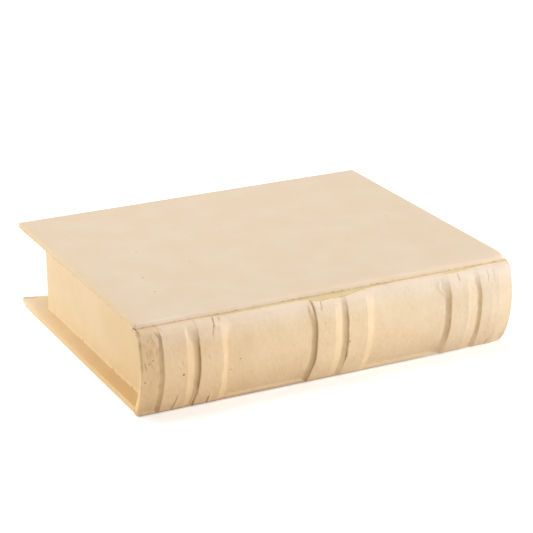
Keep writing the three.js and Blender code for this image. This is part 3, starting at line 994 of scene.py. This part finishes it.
    # The fifth number is painted shade in a crack, pale a painted highlight on a ridge.
    creases: tuple[Crease, ...] = (
        Crease((0.0492, 0.0600), (0.0480, 0.0555), 0.00050, -0.00035, 0.60),
        Crease((0.0480, 0.0555), (0.0474, 0.0530), 0.00045, -0.00030, 0.60),
        Crease((0.0474, 0.0530), (0.0462, 0.0490), 0.00040, -0.00025, 0.50),
        Crease((0.0505, 0.0598), (0.0491, 0.0540), 0.00070, 0.00045, pale=0.5),
        Crease((0.0531, 0.0600), (0.0524, 0.0562), 0.00040, -0.00025, 0.30),
        Crease((0.0236, 0.0140), (0.0227, 0.0085), 0.00045, -0.00020, 0.35),
        Crease((0.0227, 0.0085), (0.0210, 0.0010), 0.00050, -0.00025, 0.45),
        Crease((0.0247, 0.0125), (0.0226, 0.0010), 0.00060, 0.00025, pale=0.3),
        Crease((0.0452, 0.0080), (0.0448, 0.0010), 0.00050, -0.00030, 0.50),
        Crease((0.0464, 0.0095), (0.0461, 0.0010), 0.00065, 0.00030, pale=0.3),
        Crease((0.0373, 0.0150), (0.0358, 0.0080), 0.00050, -0.00030, 0.35),
        Crease((0.0358, 0.0080), (0.0354, 0.0015), 0.00045, -0.00025, 0.25),
        Crease((0.1387, 0.0225), (0.1384, 0.0140), 0.00050, -0.00030, 0.60),
        Crease((0.1212, 0.0585), (0.1203, 0.0516), 0.00045, -0.00025, 0.35),
        Crease((0.1143, 0.0600), (0.1158, 0.0500), 0.00050, -0.00035, 0.60),
        Crease((0.1158, 0.0500), (0.1166, 0.0440), 0.00045, -0.00020, 0.30),
        Crease((0.1122, 0.0585), (0.1138, 0.0500), 0.00080, 0.00035, pale=0.25),
        Crease((0.2202, 0.0575), (0.2206, 0.0530), 0.00045, -0.00025, 0.30),
        Crease((0.2417, 0.0570), (0.2417, 0.0495), 0.00040, -0.00015, 0.20),
        Crease((0.2460, 0.0565), (0.2462, 0.0490), 0.00040, -0.00015, 0.18),
        Crease((0.2462, 0.0075), (0.2450, 0.0010), 0.00050, -0.00025, 0.40),
        Crease((0.2258, 0.0500), (0.2264, 0.0300), 0.00140, 0.00020, pale=0.10),
        Crease((0.2264, 0.0300), (0.2258, 0.0150), 0.00130, 0.00018, pale=0.08),
        Crease((0.2440, 0.0430), (0.2446, 0.0120), 0.00170, 0.00020, pale=0.06),
        Crease((0.2058, 0.0560), (0.2060, 0.0500), 0.00090, 0.00035, pale=0.2),
        Crease((0.2060, 0.0500), (0.2108, 0.0440), 0.00070, 0.00025),
        Crease((0.0075, 0.0560), (0.0098, 0.0490), 0.00080, 0.00030),
        Crease((0.0098, 0.0490), (0.0094, 0.0440), 0.00060, -0.00020, 0.10),
        Crease((0.0030, 0.0460), (0.0040, 0.0420), 0.00050, -0.00020, 0.20),
        Crease((0.0018, 0.0400), (0.0028, 0.0350), 0.00045, -0.00020, 0.55),
        Crease((0.0098, 0.0570), (0.0118, 0.0535), 0.00045, -0.00030, 0.45),
        Crease((0.0110, 0.0585), (0.0136, 0.0545), 0.00055, 0.00050, pale=0.5),
        Crease((0.0125, 0.0590), (0.0150, 0.0570), 0.00045, -0.00020, 0.30),
        Crease((0.0250, 0.0375), (0.0262, 0.0345), 0.00050, -0.00015, 0.20),
        Crease((0.0425, 0.0380), (0.0440, 0.0352), 0.00050, -0.00015, 0.15),
    )
    flecks: tuple[Fleck, ...] = (
        Fleck((0.0264, 0.0285), 0.0009, 0.95),
        Fleck((0.0072, 0.0407), 0.0007, 0.60),
        Fleck((0.0047, 0.0388), 0.0007, 0.60),
        Fleck((0.0020, 0.0270), 0.0008, 0.65),
        Fleck((0.0648, 0.0307), 0.0007, 0.60),
        Fleck((0.1227, 0.0435), 0.0006, 0.40),
        Fleck((0.1398, 0.0284), 0.0008, 0.60),
        Fleck((0.1389, 0.0178), 0.0008, 0.70),
    )

    def _columns(self) -> Array:
        """Flat places along the paper, with its turned-in ends, close together where it bends."""
        bend = SKIN * math.pi / 2
        wrap = self.profile.board + 2 * bend + self.inner_reach
        length = self.head - self.tail
        above, below = self.fine_reach
        slopes = [(0.0, self.tail_reach)]
        for band in self.bands:
            slopes.append((min(band.tail.edge) - below, max(band.tail.edge) + above))
            slopes.append((min(band.head.edge) - above, max(band.head.edge) + below))
        cracks = [(0.0, self.end_reach), (length - self.end_reach, length)]
        for crease in self.creases:
            low, high = sorted((crease.start[0], crease.end[0]))
            cracks.append((low - self.crease_reach, high + self.crease_reach))
        bends = [(-bend, 0), (-wrap + self.inner_reach, bend - wrap + self.inner_reach)]
        bends += [(length - high, length - low) for low, high in bends]
        bends = [(low - self.bend_step, high + self.bend_step) for low, high in bends]
        zones = ((bends, self.bend_step), (cracks, self.crease_step), (slopes, self.fine_step))
        places = [-wrap]
        while places[-1] < length + wrap:
            x = places[-1]
            steps = (step for zone, step in zones if any(low <= x <= high for low, high in zone))
            places.append(x + next(steps, self.plain_step))
        return np.array(places)

    def _rows(self) -> Array:
        """Shares of the way up the paper, closer together at the foot and over the shoulder."""
        length = self.profile.length
        places = [0.0]
        while places[-1] < length:
            up = places[-1]
            near_end = up < self.foot_rows_reach or up > length - self.top_rows_reach
            places.append(up + (self.end_row_step if near_end else self.row_step))
        return np.array(places) / places[-1]

    def _reveal(self, x: Array) -> Array:
        """How far below the fold the torn top edge of the paper lies."""
        ragged = sum(swell.at(on_sheet(x)) for swell in self.ragged)
        torn = sum(depth * plateau(x, *stretch) for depth, stretch in self.tears)
        return self.torn_reveal + ragged + torn - self.climb * smooth(x, *self.climb_reach)

    def _proud(self, x: Array, up: Array) -> Array:
        """How far the paper's face stands out from the board."""
        from_fold = self.profile.length - up
        from_head = self.head - self.tail - x
        share = np.clip(up / self.profile.length, 0, 1)
        over_hinge = SKIN * smooth(from_fold, self.hinge_cover, self.hinge_cover - self.hinge_step)
        worn = 1 - self.rim_wear * smooth(from_head, *self.rim_wear_reach)
        rim = self.rim_lift * worn * smooth(up, *self.rim_reach)
        lift = np.maximum(rim, self.end_lift * plateau(x, *self.end_strip))
        wavering = self._waver(x, up)
        for band in self.bands:
            lift = np.maximum(lift, band.lift(wavering, share))
        below_fold, below_arc = self.run_out
        lift = lift * smooth(up, self.profile.length - below_fold, self.profile.arc_length - below_arc)
        uneven = sum(swell.at(on_sheet(x, up)) for swell in self.uneven)
        uneven = uneven + sum(crease.lift(x, up) for crease in self.creases)
        uneven = uneven - np.maximum(uneven, 0) * smooth(from_fold, *self.pressed_reach)
        inside = smooth(x, 0, self.even_ends) * smooth(from_head, 0, self.even_ends)
        return SKIN + over_hinge + lift + uneven * inside

    def _waver(self, x: Array, up: Array) -> Array:
        """Moves places a little along the spine, so that no band's edge is quite straight."""
        return x + sum(swell.at(on_sheet(x / 6, up)) for swell in self.waver)

    def _wrap_end(self, past: Array, loose: Array) -> tuple[Array, Array]:
        """Takes the paper round an end of the board.

        Args:
            past: how far each place is past the end, on the flat paper.
            loose: how much deeper than the board the fold is there, as a share.

        Returns:
            How far each lies outside the end, and how far it has come down from the face.
        """
        turn = SKIN * math.pi / 2
        board = self.profile.board
        first = np.clip(past, 0, turn) / SKIN
        straight = np.clip(past - turn, 0, board) * (1 + loose)
        second = np.clip(past - turn - board, 0, turn) / SKIN
        inner = np.clip(past - 2 * turn - board, 0, None)
        outside = SKIN * np.sin(first) - SKIN * (1 - np.cos(second)) - inner
        down = SKIN * (1 - np.cos(first)) + straight + SKIN * np.sin(second)
        return outside, down

    def make(self) -> None:
        """Builds the spine's paper."""
        work, flat, row = Workpiece.sheet("spine_cover", self._columns(), self._rows())
        length = self.head - self.tail
        x = np.clip(flat, 0, length)
        past = np.maximum(-flat, flat - length)
        outer = np.maximum(past, 0)
        clearance = self.foot_gap * (1 + self.foot_wave.at(on_sheet(x)))
        down = self._wrap_end(outer, self.loose_fold)[1]
        foot = self.profile.foot(self._proud(x, x * 0) - down, clearance)
        up = foot + (self.profile.length - self._reveal(x) - foot) * row
        outside, down = self._wrap_end(outer, self.loose_fold * smooth(up, *self.loose_reach))
        place_x, place_up = round_corner(x, up - foot, (length, 0), self.worn_radius)
        y, z = self.profile.place(foot + place_up, self._proud(x, up) - down)
        away = np.where(flat < length / 2, -1.0, 1.0)
        work.move(np.stack([self.tail + place_x + away * outside, y, z], axis=1))
        self._soil(work, x, up, past, row)
        work.thicken(PAPER)
        work.move(np.maximum(work.points(), (-1.0, -1.0, 0.0)))
        for side in (-1, 1):
            work.join(self._end_tab(side))
        seat(work.dress(replace(SPINE_PAPER, spots=self._spots()), angle=60), Body.BOX, "spine_paper")

    def _spots(self) -> tuple[Spot, ...]:
        """The flecks at their places on the paper's face."""
        x, up = np.array([fleck.at for fleck in self.flecks]).T
        faces = zip(*self.profile.place(up, self._proud(x, up)))
        return tuple(
            Spot((self.tail + fleck.at[0], float(y), float(z)), fleck.radius, fleck.dark)
            for fleck, (y, z) in zip(self.flecks, faces)
        )

    def make_board(self) -> None:
        """Builds the curved board with its worn corner."""
        length, worn = self.head - self.tail, self.worn_rows
        arc, top = self.profile.arc_length, self.profile.length
        columns = paced((0, length - worn, 59), (length - worn, length, 16))
        rows = paced((0, worn, 12), (worn, arc, 23), (arc, top, 15), (top, top + self.ledge_depth, 3))
        work, x, up = Workpiece.sheet("spine_core", columns, rows)
        x, up = round_corner(x, up, (length, 0), self.worn_radius)
        on_face = np.minimum(up, top)
        y, z = self.profile.place(on_face, np.zeros_like(x))
        work.move(np.stack([self.tail + x, y + up - on_face, z], axis=1))
        seat(work.thicken(self.profile.board).dress(GREYBOARD, angle=40), Body.BOX, "spine_board")

    def _soil(self, work: Workpiece, x: Array, up: Array, past: Array, row: Array) -> None:
        """Marks painted light and shade on the paper, with ochre patches, dark marks and its pale torn edge.

        Args:
            work: the sheet.
            x: places along the spine.
            up: places up the face.
            past: how far each place is past the nearer end of the board.
            row: shares of the way from the foot to the torn edge.
        """
        share = np.clip(up / self.profile.length, 0, 1)
        from_foot = row * self.profile.length
        upper = smooth(up, *self.upper_half)
        wavering = self._waver(x, up)
        patchy = self.patchy.at(on_sheet(x, up / 2))
        # Painted shade in the creases, and in the crease under each band's tail edge.
        cracks = [crease.shade(x, up) for crease in self.creases]
        cracks += [band.tail.crease_shade(wavering, share, -1) * (1 + 0.5 * patchy) for band in self.bands]
        dark = np.maximum.reduce(cracks)
        # Painted ochre shade on the bands' slopes and on the creases' painted shade; ochre patches at the tail
        # end.
        ochre_shade = np.maximum.reduce([band.ochre_shade(wavering, share) for band in self.bands])
        tail_end = sum(patch.at(x, up) for patch in self.tail_ochre)
        work.mark("paste", np.maximum.reduce([ochre_shade * (1 + 0.35 * patchy), tail_end, 0.8 * dark]))
        # Painted contact shade along the foot.
        foot_shade = self.foot_shade - self.less_foot_shade.at(x, up) + self.foot_shade_wave.at(on_sheet(x))
        foot_shade = foot_shade * smooth(x, *self.foot_shade_start) * smooth(from_foot, *self.foot_shade_reach)
        # Painted shade in patches on the panel left of the first band.
        tail_panel_shade = self.tail_panel_shade.at(x, up) * smooth(patchy, 0.05, 0.50)
        corner = smooth(np.hypot(x, up), *self.corner_reach) * (0.6 + patchy)
        line = upper * plateau(past, *self.end_line) * np.where(x < 0.1, 1 + 1.4 * patchy, 0)
        work.mark("stain", np.maximum.reduce([dark, foot_shade, tail_panel_shade, 0.45 * corner, 0.42 * line]))
        torn = smooth(self.profile.length - from_foot, self.pale_tear, 0)
        # Painted highlights on the creases' ridges, the paler torn top edge, and painted light on the fold round
        # the board's end.
        worn = [crease.bleach(x, up) for crease in self.creases]
        worn += [0.5 * torn * (1 + patchy), (0.90 - 0.55 * upper) * plateau(past, *self.lit_end_fold)]
        work.mark("wear", np.maximum.reduce(worn))

    def _end_tab(self, side: int) -> Workpiece:
        """Folds the paper's top corner over the end of the board's ledge.

        Args:
            side: -1 at the tail, 1 at the head.

        Returns:
            The folded corner.
        """
        end = self.tail if side < 0 else self.head
        fold = self.profile.fold_y
        ledge = self.profile.fold_z - self.profile.under_leaf
        front = fold - self.tab_front
        ends = sorted((end, end + side * SKIN))
        low = Vector((ends[0], front, ledge - self.profile.board - PASTE))
        high = Vector((ends[1], fold + self.ledge_depth, ledge + SKIN))
        tab = Workpiece.block("end_tab", low, high).bevel(self.tab_round, 2)
        tab.cut_evenly(self.tab_cell, "yz")
        points = tab.points()
        behind = fold - points[:, 1]
        points[:, 2] -= smooth(points[:, 1], fold, front) * behind * math.tan(self.profile.slope)
        outer_face = np.abs(points[:, 0] - end) > SKIN / 2
        points[:, 0] += side * (self.tab_swell + self.tab_crumple.at(points)) * outer_face
        points[:, 2] += self.tab_hang.at(points) * (points[:, 2] < ledge - SKIN)
        torn = smooth(points[:, 1], fold - self.tab_torn, fold + self.tab_torn)
        torn = torn * (0.6 + self.tab_tear.at(points * (0, 1, 0)))
        points[:, 2] += self.tab_rise * np.clip(torn, 0, 1) * outer_face * (points[:, 2] > ledge)
        tab.mark("stain", 0.7 * smooth(self.tab_specks.at(points), 0.15, 0.45))
        return tab.move(points).mark("wear", np.full(len(points), 0.45))


@dataclass
class Hinge:
    """The paper hinge: one strip glued on the spine's run and under the lid."""

    profile: SpineProfile
    tail: float
    head: float
    lid_reach: float = 0.018
    spine_reach: float = 0.0075
    columns: int = 260
    rows: int = 46
    fold_rise: float = 0.0009
    swell: Swell = Swell(0.00008, 0.006, 2)
    swell_at: float = -0.0010
    swell_reach: float = 0.0022
    bend_start: float = -0.0004
    bend_end: float = 0.0007

    def make(self) -> None:
        """Builds the strip, shaped across the fold from the spine's run to under the lid."""
        columns = np.linspace(self.tail + SKIN, self.head - SKIN, self.columns + 1)
        rows = np.linspace(-self.spine_reach, self.lid_reach, self.rows + 1)
        work, x, walk = Workpiece.sheet("paper_hinge", columns, rows)
        y, z = self.profile.place(self.profile.length + np.minimum(walk, 0), np.full_like(x, SKIN))
        level = self.profile.fold_z + PAPER
        z = z + (level - z) * smooth(walk, 0, self.fold_rise)
        near_fold = np.exp(-(((walk - self.swell_at) / self.swell_reach) ** 2))
        z = z + near_fold * self.swell.at(on_sheet(x, walk))
        work.move(np.stack([x, y + np.maximum(walk, 0), z], axis=1))
        piece = work.thicken(PAPER).dress(HINGE_PAPER)
        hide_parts("hinge_strip_spine_leaf", "hinge_strip_lid_leaf")
        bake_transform(piece)
        LOG.info("%s: %d faces, from the box to the lid", piece.name, len(piece.data.polygons))


@dataclass
class Lid:
    """The upper cover: its board, and the paper folded over it."""

    low: Vector
    high: Vector
    turn_in: float = 0.026
    leaf_bay: float = 0.0183
    fold_radius: float = 0.0007
    cell: float = 0.0045
    swell: Swell = Swell(0.5, 0.045, 4)
    swell_height: float = 0.00012
    edge_roll: float = 0.0014
    roll_cuts: Triple = (0.0016, 0.0026, 0.0036)
    roll_reach: float = 0.0055
    still_side: float = 0.0012
    least_roll: float = 0.35
    full_tail: Place = (0.030, 0.075)
    full_head: Place = (0.010, 0.040)
    worn_reach: float = 0.011
    worn_drop: float = 0.0016
    worn_pull: float = 0.0012
    scuffed: Stretch = (0.004, 0.012, 0.026, 0.040)
    scuff_reach: Place = (0.0022, 0.0006)
    scuff_rise: Place = (0.0006, 0.002)
    scuff_share: float = 0.30

    def _shape(self, points: Array, proud: float) -> Array:
        """Rolls the spine-side edge down, wears its head corner and makes the face uneven.

        Args:
            points: the places of the vertices.
            proud: how far unevenness may lift the paper; none on the board.

        Returns:
            The new places.
        """
        x, y, z = points.T.copy()
        top = smooth(z, self.low.z + self.still_side, self.high.z)
        full = smooth(x - self.low.x, *self.full_tail) * smooth(self.high.x - x, *self.full_head)
        soft = self.least_roll + (1 - self.least_roll) * full
        near = np.clip(1 - (y - self.low.y) / self.roll_reach, 0, 1)
        corner = np.hypot(self.high.x - x, y - self.low.y)
        worn = np.clip(1 - corner / self.worn_reach, 0, 1) ** 2
        z = z - top * (soft * self.edge_roll * near**2 + worn * self.worn_drop)
        swell = 0.5 + self.swell.at(points)
        return np.stack([x - worn * self.worn_pull, y, z + top * proud * swell], axis=1)

    def make(self) -> None:
        """Builds the paper and the board."""
        low, high = self.low, self.high
        near_spine = [low.y + reach for reach in self.roll_cuts]
        bay_x = (low.x + self.turn_in, high.x - self.turn_in)
        bay_y = (low.y + self.leaf_bay, high.y - self.turn_in)
        cover = Workpiece.block("lid_cover", low, high).bevel(self.fold_radius, 3)
        cover.cut_evenly(self.cell, "xy").cut("y", near_spine).cut("x", bay_x).cut("y", bay_y)
        cover.delete(
            lambda centre, normal: normal.z < -0.9 and abs(centre.z - low.z) < PASTE
            and (centre.y < bay_y[0] or (bay_x[0] < centre.x < bay_x[1] and centre.y < bay_y[1]))
        )
        cover.move(self._shape(cover.points(), self.swell_height))
        along, from_spine, height = (cover.points() - np.array(low)).T
        worn = smooth(from_spine, *self.scuff_reach) * smooth(height, *self.scuff_rise)
        cover.mark("wear", self.scuff_share * worn * plateau(along, *self.scuffed))
        seat(cover.thicken(PAPER).dress(LID_PAPER), Body.LID, "lid_cover_paper")
        inset = Vector((SKIN, SKIN, SKIN))
        core = Workpiece.block("lid_core", low + inset, high - inset).bevel(self.fold_radius / 2, 2)
        core.cut_evenly(self.cell * 2, "x").cut("y", near_spine)
        points = core.points()
        middle = np.array((low + high) / 2)
        spread = np.array(high - low) / np.array(high - low - 2 * inset)
        on_cover = middle + (points - middle) * spread
        core.move(points + self._shape(on_cover, 0.0) - on_cover)
        seat(core.dress(GREYBOARD), Body.LID, "lid_board")


@dataclass
class Base:
    """The lower cover: its board, and the paper folded over three of its edges."""

    low: Vector
    high: Vector
    board_low: Vector
    board_high: Vector
    turn_in: float = 0.026
    fold_radius: float = 0.0009
    cell: float = 0.0045
    ledge: float = 0.0108
    swell: Swell = Swell(0.00010, 0.020, 9)
    swell_rise: Place = (0.001, 0.0036)
    face_depth: Place = (0.0003, 0.0001)
    edge_reach: Place = (0.0009, 0.0001)
    edge_fade: Place = (0.02, -0.09)
    # Reach of the painted shade along the fore edge by the curled tail corner.
    fray_reach: Place = (0.0020, 0.0006)
    curl_shade_length: Place = (0.016, 0.008)
    curl_height: float = 0.0020
    curl_reach: float = 0.024
    worn_radius: float = 0.0085

    def _shape(self, points: Array) -> Array:
        """Curls the corner at the tail of the fore edge and wears the one at the spine's head away."""
        x, y, z = points.T.copy()
        radius = self.worn_radius * (1 - 0.85 * smooth(z, 0, self.high.z))
        x, y = round_corner(x, y, (self.high.x, self.low.y), radius)
        off = np.hypot(x - self.low.x, self.high.y - y)
        z = z + self.curl_height * np.clip(1 - off / self.curl_reach, 0, 1) ** 1.6
        return np.stack([x, y, z], axis=1)

    def make(self) -> None:
        """Builds the paper and the board."""
        low, high = self.low.copy(), self.high
        foot_y = low.y
        low.y = self.board_low.y
        bay_x = (low.x + self.turn_in, high.x - self.turn_in)
        bay_y = high.y - self.turn_in
        cover = Workpiece.block("base_cover", low, high)
        cover.bevel(self.fold_radius, 3, lambda a, b: max(a.y, b.y) > low.y + SKIN)
        cover.cut_evenly(self.cell, "xy").cut("x", bay_x).cut("y", [bay_y])
        cover.delete(
            lambda centre, normal: normal.y < -0.9 and centre.y < low.y + PASTE
            or (normal.z > 0.9 and bay_x[0] < centre.x < bay_x[1] and centre.y < bay_y)
        )
        cover.draw_out(
            (0, foot_y - low.y, 0),
            lambda a, b: max(a.y, b.y) < low.y + PASTE and max(a.z, b.z) < low.z + PASTE,
        )
        points = cover.points()
        swell = self.swell.depth + self.swell.at(points)
        points[:, 2] += swell * smooth(points[:, 2], *self.swell_rise)
        x, y, z = points.T
        along = x - low.x
        on_top = smooth(high.z - z, *self.face_depth)
        beside_wall = on_top * smooth(np.abs(along - self.ledge), self.ledge * 0.9, 0.0)
        edge_face = smooth(along, *self.edge_reach) * smooth(y, *self.edge_fade)
        cover.mark("wear", np.maximum(0.40 * beside_wall, 0.35 * edge_face))
        # Painted shade on the shaded side of the curled corner, along the fore edge.
        frayed = smooth(high.y - y, *self.fray_reach) * smooth(along, *self.curl_shade_length)
        cover.mark("stain", 0.7 * frayed * on_top)
        cover.move(self._shape(points))
        seat(cover.thicken(PAPER).dress(BASE_PAPER), Body.BOX, "base_cover_paper")
        core = Workpiece.block("base_core", self.board_low, self.board_high)
        core.bevel(self.fold_radius / 2, 2, lambda a, b: max(a.y, b.y) > self.board_low.y + SKIN)
        core.cut_evenly(self.cell, "xy")
        core.move(self._shape(core.points()))
        seat(core.dress(GREYBOARD), Body.BOX, "base_board")


@dataclass
class Tray:
    """The tray between the covers: the paper wrapped round it and over its rim."""

    low: Vector
    high: Vector
    rim: float = 0.0030
    hem: float = 0.014
    fold_radius: float = 0.0009
    cell: float = 0.0045
    fine_cell: float = 0.0011
    foot_cuts: Triple = (0.0006, 0.0014, 0.0024)
    end_cuts: Place = (0.0015, 0.0030)
    swell: Swell = Swell(0.00008, 0.03, 6)
    blobs: Swell = Swell(2.0, 0.0050, 14)
    flare: float = 0.00060
    flare_height: float = 0.0022
    blob_flare: float = 0.0010
    fray_height: Place = (0.0026, 0.0008)
    speck_height: Place = (0.0018, 0.0006)
    fray: Swell = Swell(0.45, 0.006, 19)
    specks: Swell = Swell(1.0, 0.0035, 23)

    def make(self) -> None:
        """Builds the wrapping."""
        low, high = self.low, self.high
        floor = high.z - self.hem
        wrap = Workpiece.block("tray_wrap", low, high)
        wrap.sink(self.rim, self.hem, lambda centre, normal: normal.z > 0.9)
        wrap.delete(
            lambda centre, normal: abs(normal.z) > 0.9
            and (centre.z < low.z + PASTE or abs(centre.z - floor) < PASTE)
        )
        wrap.bevel(self.fold_radius, 3, lambda a, b: self._folded(a, b, floor))
        wrap.cut_evenly(self.cell, "xyz").cut("z", [low.z + height for height in self.foot_cuts])
        wrap.cut("x", [low.x + reach for reach in self.end_cuts])
        wrap.cut("y", np.arange(low.y + self.fine_cell, high.y, self.fine_cell))
        self._soil(wrap)
        wrap.move(self._shape(wrap.points()))
        seat(wrap.thicken(PAPER).dress(TRAY_PAPER), Body.BOX, "tray_wrap_paper")

    def _folded(self, first: Vector, second: Vector, floor: float) -> bool:
        """Whether an edge is one that the paper is folded over."""
        open_foot = max(first.z, second.z) < self.low.z + PASTE
        open_hem = abs(first.z - floor) < PASTE and abs(second.z - floor) < PASTE
        return not (open_foot or open_hem)

    def _shape(self, points: Array) -> Array:
        """Makes the walls slightly uneven and flares the paper at their foot."""
        height = points[:, 2] - self.low.z
        blobs = np.clip(self.blobs.at(points * (1, 1, 0)) - 0.24, 0, 2)
        flare = smooth(height, self.flare_height, 0) * (self.flare + self.blob_flare * blobs)
        out = self.swell.depth + self.swell.at(points) + flare
        shaped = points.copy()
        for i in (0, 1):
            on_high = points[:, i] > self.high[i] - self.rim / 2
            on_low = points[:, i] < self.low[i] + self.rim / 2
            shaped[:, i] += out * (on_high.astype(float) - on_low)
        return shaped

    def _soil(self, work: Workpiece) -> None:
        """Marks the pale frayed line and the dark specks of paste along the foot of the walls."""
        points = work.points()
        height = points[:, 2] - self.low.z
        line = points * (1, 1, 0)
        frayed = self.fray.depth + self.fray.at(line)
        work.mark("wear", smooth(height, *self.fray_height) * frayed)
        specks = smooth(self.specks.at(line), 0.34, 0.50)
        work.mark("stain", 0.6 * specks * smooth(height, *self.speck_height))


@dataclass(frozen=True)
class Softbox:
    """A lamp with a square face that throws soft light at one place."""

    name: str
    place: Triple
    aim: Triple
    width: float
    height: float
    watts: float
    tone: Colour = (255, 255, 255)

    def hang(self) -> None:
        """Hangs the lamp."""
        data = bpy.data.lights.new(self.name, "AREA")
        data.shape = "RECTANGLE"
        data.size = self.width
        data.size_y = self.height
        data.energy = self.watts
        data.color = linear(self.tone)[:3]
        lamp = bpy.data.objects.new(self.name, data)
        bpy.context.scene.collection.objects.link(lamp)
        lamp.location = self.place
        aim = Vector(self.aim) - Vector(self.place)
        lamp.rotation_euler = aim.to_track_quat("-Z", "Y").to_euler()


@dataclass
class Studio:
    """The white table, the lamps and the camera of the picture."""

    eye: Triple = (-0.5204, -1.06665, 0.4856)
    azimuth: float = -26.24
    elevation: float = 20.50
    roll: float = -0.40
    lens: float = 128.4
    sensor: float = 36.0
    floor_size: float = 12.0
    floor_tone: Colour = (236, 236, 236)
    floor_glow: float = 0.44
    far_glow: float = 0.60
    far_reach: Place = (0.9, 2.6)
    # A strip along the spine's foot where the table's glow is taken away, which paints shade there.
    foot_y: float = -0.0975
    foot_fade: float = 0.0028
    behind_foot: Place = (-0.0935, -0.0915)
    tail_clear: Place = (-0.128, -0.131)
    head_clear: Place = (0.04, 0.12)
    room_strength: float = 0.20
    softboxes: tuple[Softbox, ...] = (
        Softbox("spine_lamp", (1.05, -1.12, 0.43), (0.0, -0.08, 0.03), 0.45, 0.45, 20.6),
        Softbox("tail_lamp", (-1.08, 0.75, 0.22), (-0.10, 0.0, 0.03), 0.80, 0.40, 10.3),
        Softbox("top_lamp", (-0.15, 0.45, 1.50), (0.0, 0.0, 0.05), 1.00, 1.00, 17.0),
    )

    def make(self) -> None:
        """Builds the whole studio."""
        self._camera()
        self._table()
        self._room()
        for softbox in self.softboxes:
            softbox.hang()

    def _camera(self) -> None:
        """Puts the camera where the picture was taken from."""
        data = bpy.data.cameras.new("camera")
        data.lens = self.lens
        data.sensor_width = self.sensor
        data.clip_end = 100
        camera = bpy.data.objects.new("camera", data)
        bpy.context.scene.collection.objects.link(camera)
        tilt = Euler((math.radians(90 - self.elevation), 0, math.radians(self.azimuth))).to_matrix()
        roll = Matrix.Rotation(math.radians(self.roll), 3, "Z")
        camera.matrix_world = Matrix.Translation(self.eye) @ (tilt @ roll).to_4x4()
        bpy.context.scene.camera = camera

    @staticmethod
    def _seen(recipe: Recipe) -> Socket:
        """1 for rays that the eye follows, straight or through gloss and glass."""
        path = recipe.add("LightPath").outputs
        glossy = recipe.math("MAXIMUM", path["Is Camera Ray"], path["Is Glossy Ray"])
        return recipe.math("MAXIMUM", glossy, path["Is Transmission Ray"])

    def _table(self) -> None:
        """Lays the white table, which keeps the box's shadow."""
        bpy.ops.mesh.primitive_plane_add(size=self.floor_size, location=(0, 0, 0))
        table = bpy.context.object
        table.name = "studio_table"
        recipe = Recipe("studio_white")
        place = recipe.place()
        paint = recipe.add("BsdfDiffuse", {"Color": linear(self.floor_tone)}).outputs[0]
        # The glow is taken away in a strip along the spine's foot, which paints a darker strip of shade there.
        strength = recipe.times(self._glow_outside_foot_shade(recipe, place), self.floor_glow)
        away = recipe.add("VectorMath", {0: place}, operation="LENGTH").outputs["Value"]
        strength = recipe.math("ADD", strength, recipe.band(away, *self.far_reach, self.far_glow))
        strength = recipe.times(strength, self._seen(recipe))
        glow = recipe.add("Emission", {"Color": (1, 1, 1, 1), "Strength": strength}).outputs[0]
        material = recipe.finish(recipe.add("AddShader", {0: paint, 1: glow}).outputs[0])
        table.data.materials.append(material)

    def _glow_outside_foot_shade(self, recipe: Recipe, place: Socket) -> Socket:
        """0 at the foot of the spine, 1 a little before it: the table's glow is taken away there, which paints a
        strip of shade in which the contact shadow shows.
        """
        x, y = (recipe.axis(place, name) for name in "XY")
        masks = (
            recipe.band(y, self.foot_y, self.foot_y - self.foot_fade),
            recipe.band(y, *self.behind_foot),
            recipe.band(x, *self.tail_clear),
        )
        clear = recipe.band(x, *self.head_clear)
        for mask in masks:
            clear = recipe.math("MAXIMUM", clear, mask)
        return clear

    def _room(self) -> None:
        """Fills the room with a little light from all sides, before a white backdrop."""
        world = bpy.data.worlds.new("studio_room")
        bpy.context.scene.world = world
        world.use_nodes = True
        recipe = Recipe.on(world.node_tree)
        light, backdrop = (
            recipe.add("Background", {"Color": (1, 1, 1, 1), "Strength": strength}).outputs[0]
            for strength in (self.room_strength, 1.0)
        )
        surface = recipe.add("MixShader", {0: self._seen(recipe), 1: light, 2: backdrop}).outputs[0]
        recipe.add("OutputWorld", {"Surface": surface})


def dress_frame() -> None:
    """Gives the frame's own boards and linings their finishes."""
    finishes = {Slot.BOARD.value: GREYBOARD, Slot.LINING.value: LINING_PAPER}
    for part in frame["record"]["subparts"]:
        finish = finishes.get(part["material_slot"])
        node = frame["nodes"][part["node"]]
        if finish is None or node.hide_render:
            continue
        for place in node.material_slots:
            place.material = Wardrobe.of(finish)
        LOG.info("%s: dressed in %s", part["node"], finish.name)


def main() -> None:
    """Builds the studio and every piece of the box."""
    logging.basicConfig(level=logging.INFO, format="%(message)s")
    bpy.context.scene.view_settings.view_transform = "Standard"
    Studio().make()
    joint = frame["joints"][0]
    profile = SpineProfile(fold_y=joint["pos_m"][1], fold_z=joint["pos_m"][2])
    spine_low, spine_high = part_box("spine_board")
    spine = Spine(profile, spine_low.x, spine_high.x)
    spine.make_board()
    spine.make()
    Hinge(profile, spine_low.x, spine_high.x).make()
    Lid(*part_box("lid_cover_paper")).make()
    Base(*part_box("base_cover_paper"), *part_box("base_board")).make()
    Tray(*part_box("tray_wrap_paper")).make()
    dress_frame()


if __name__ == "__main__":
    main()
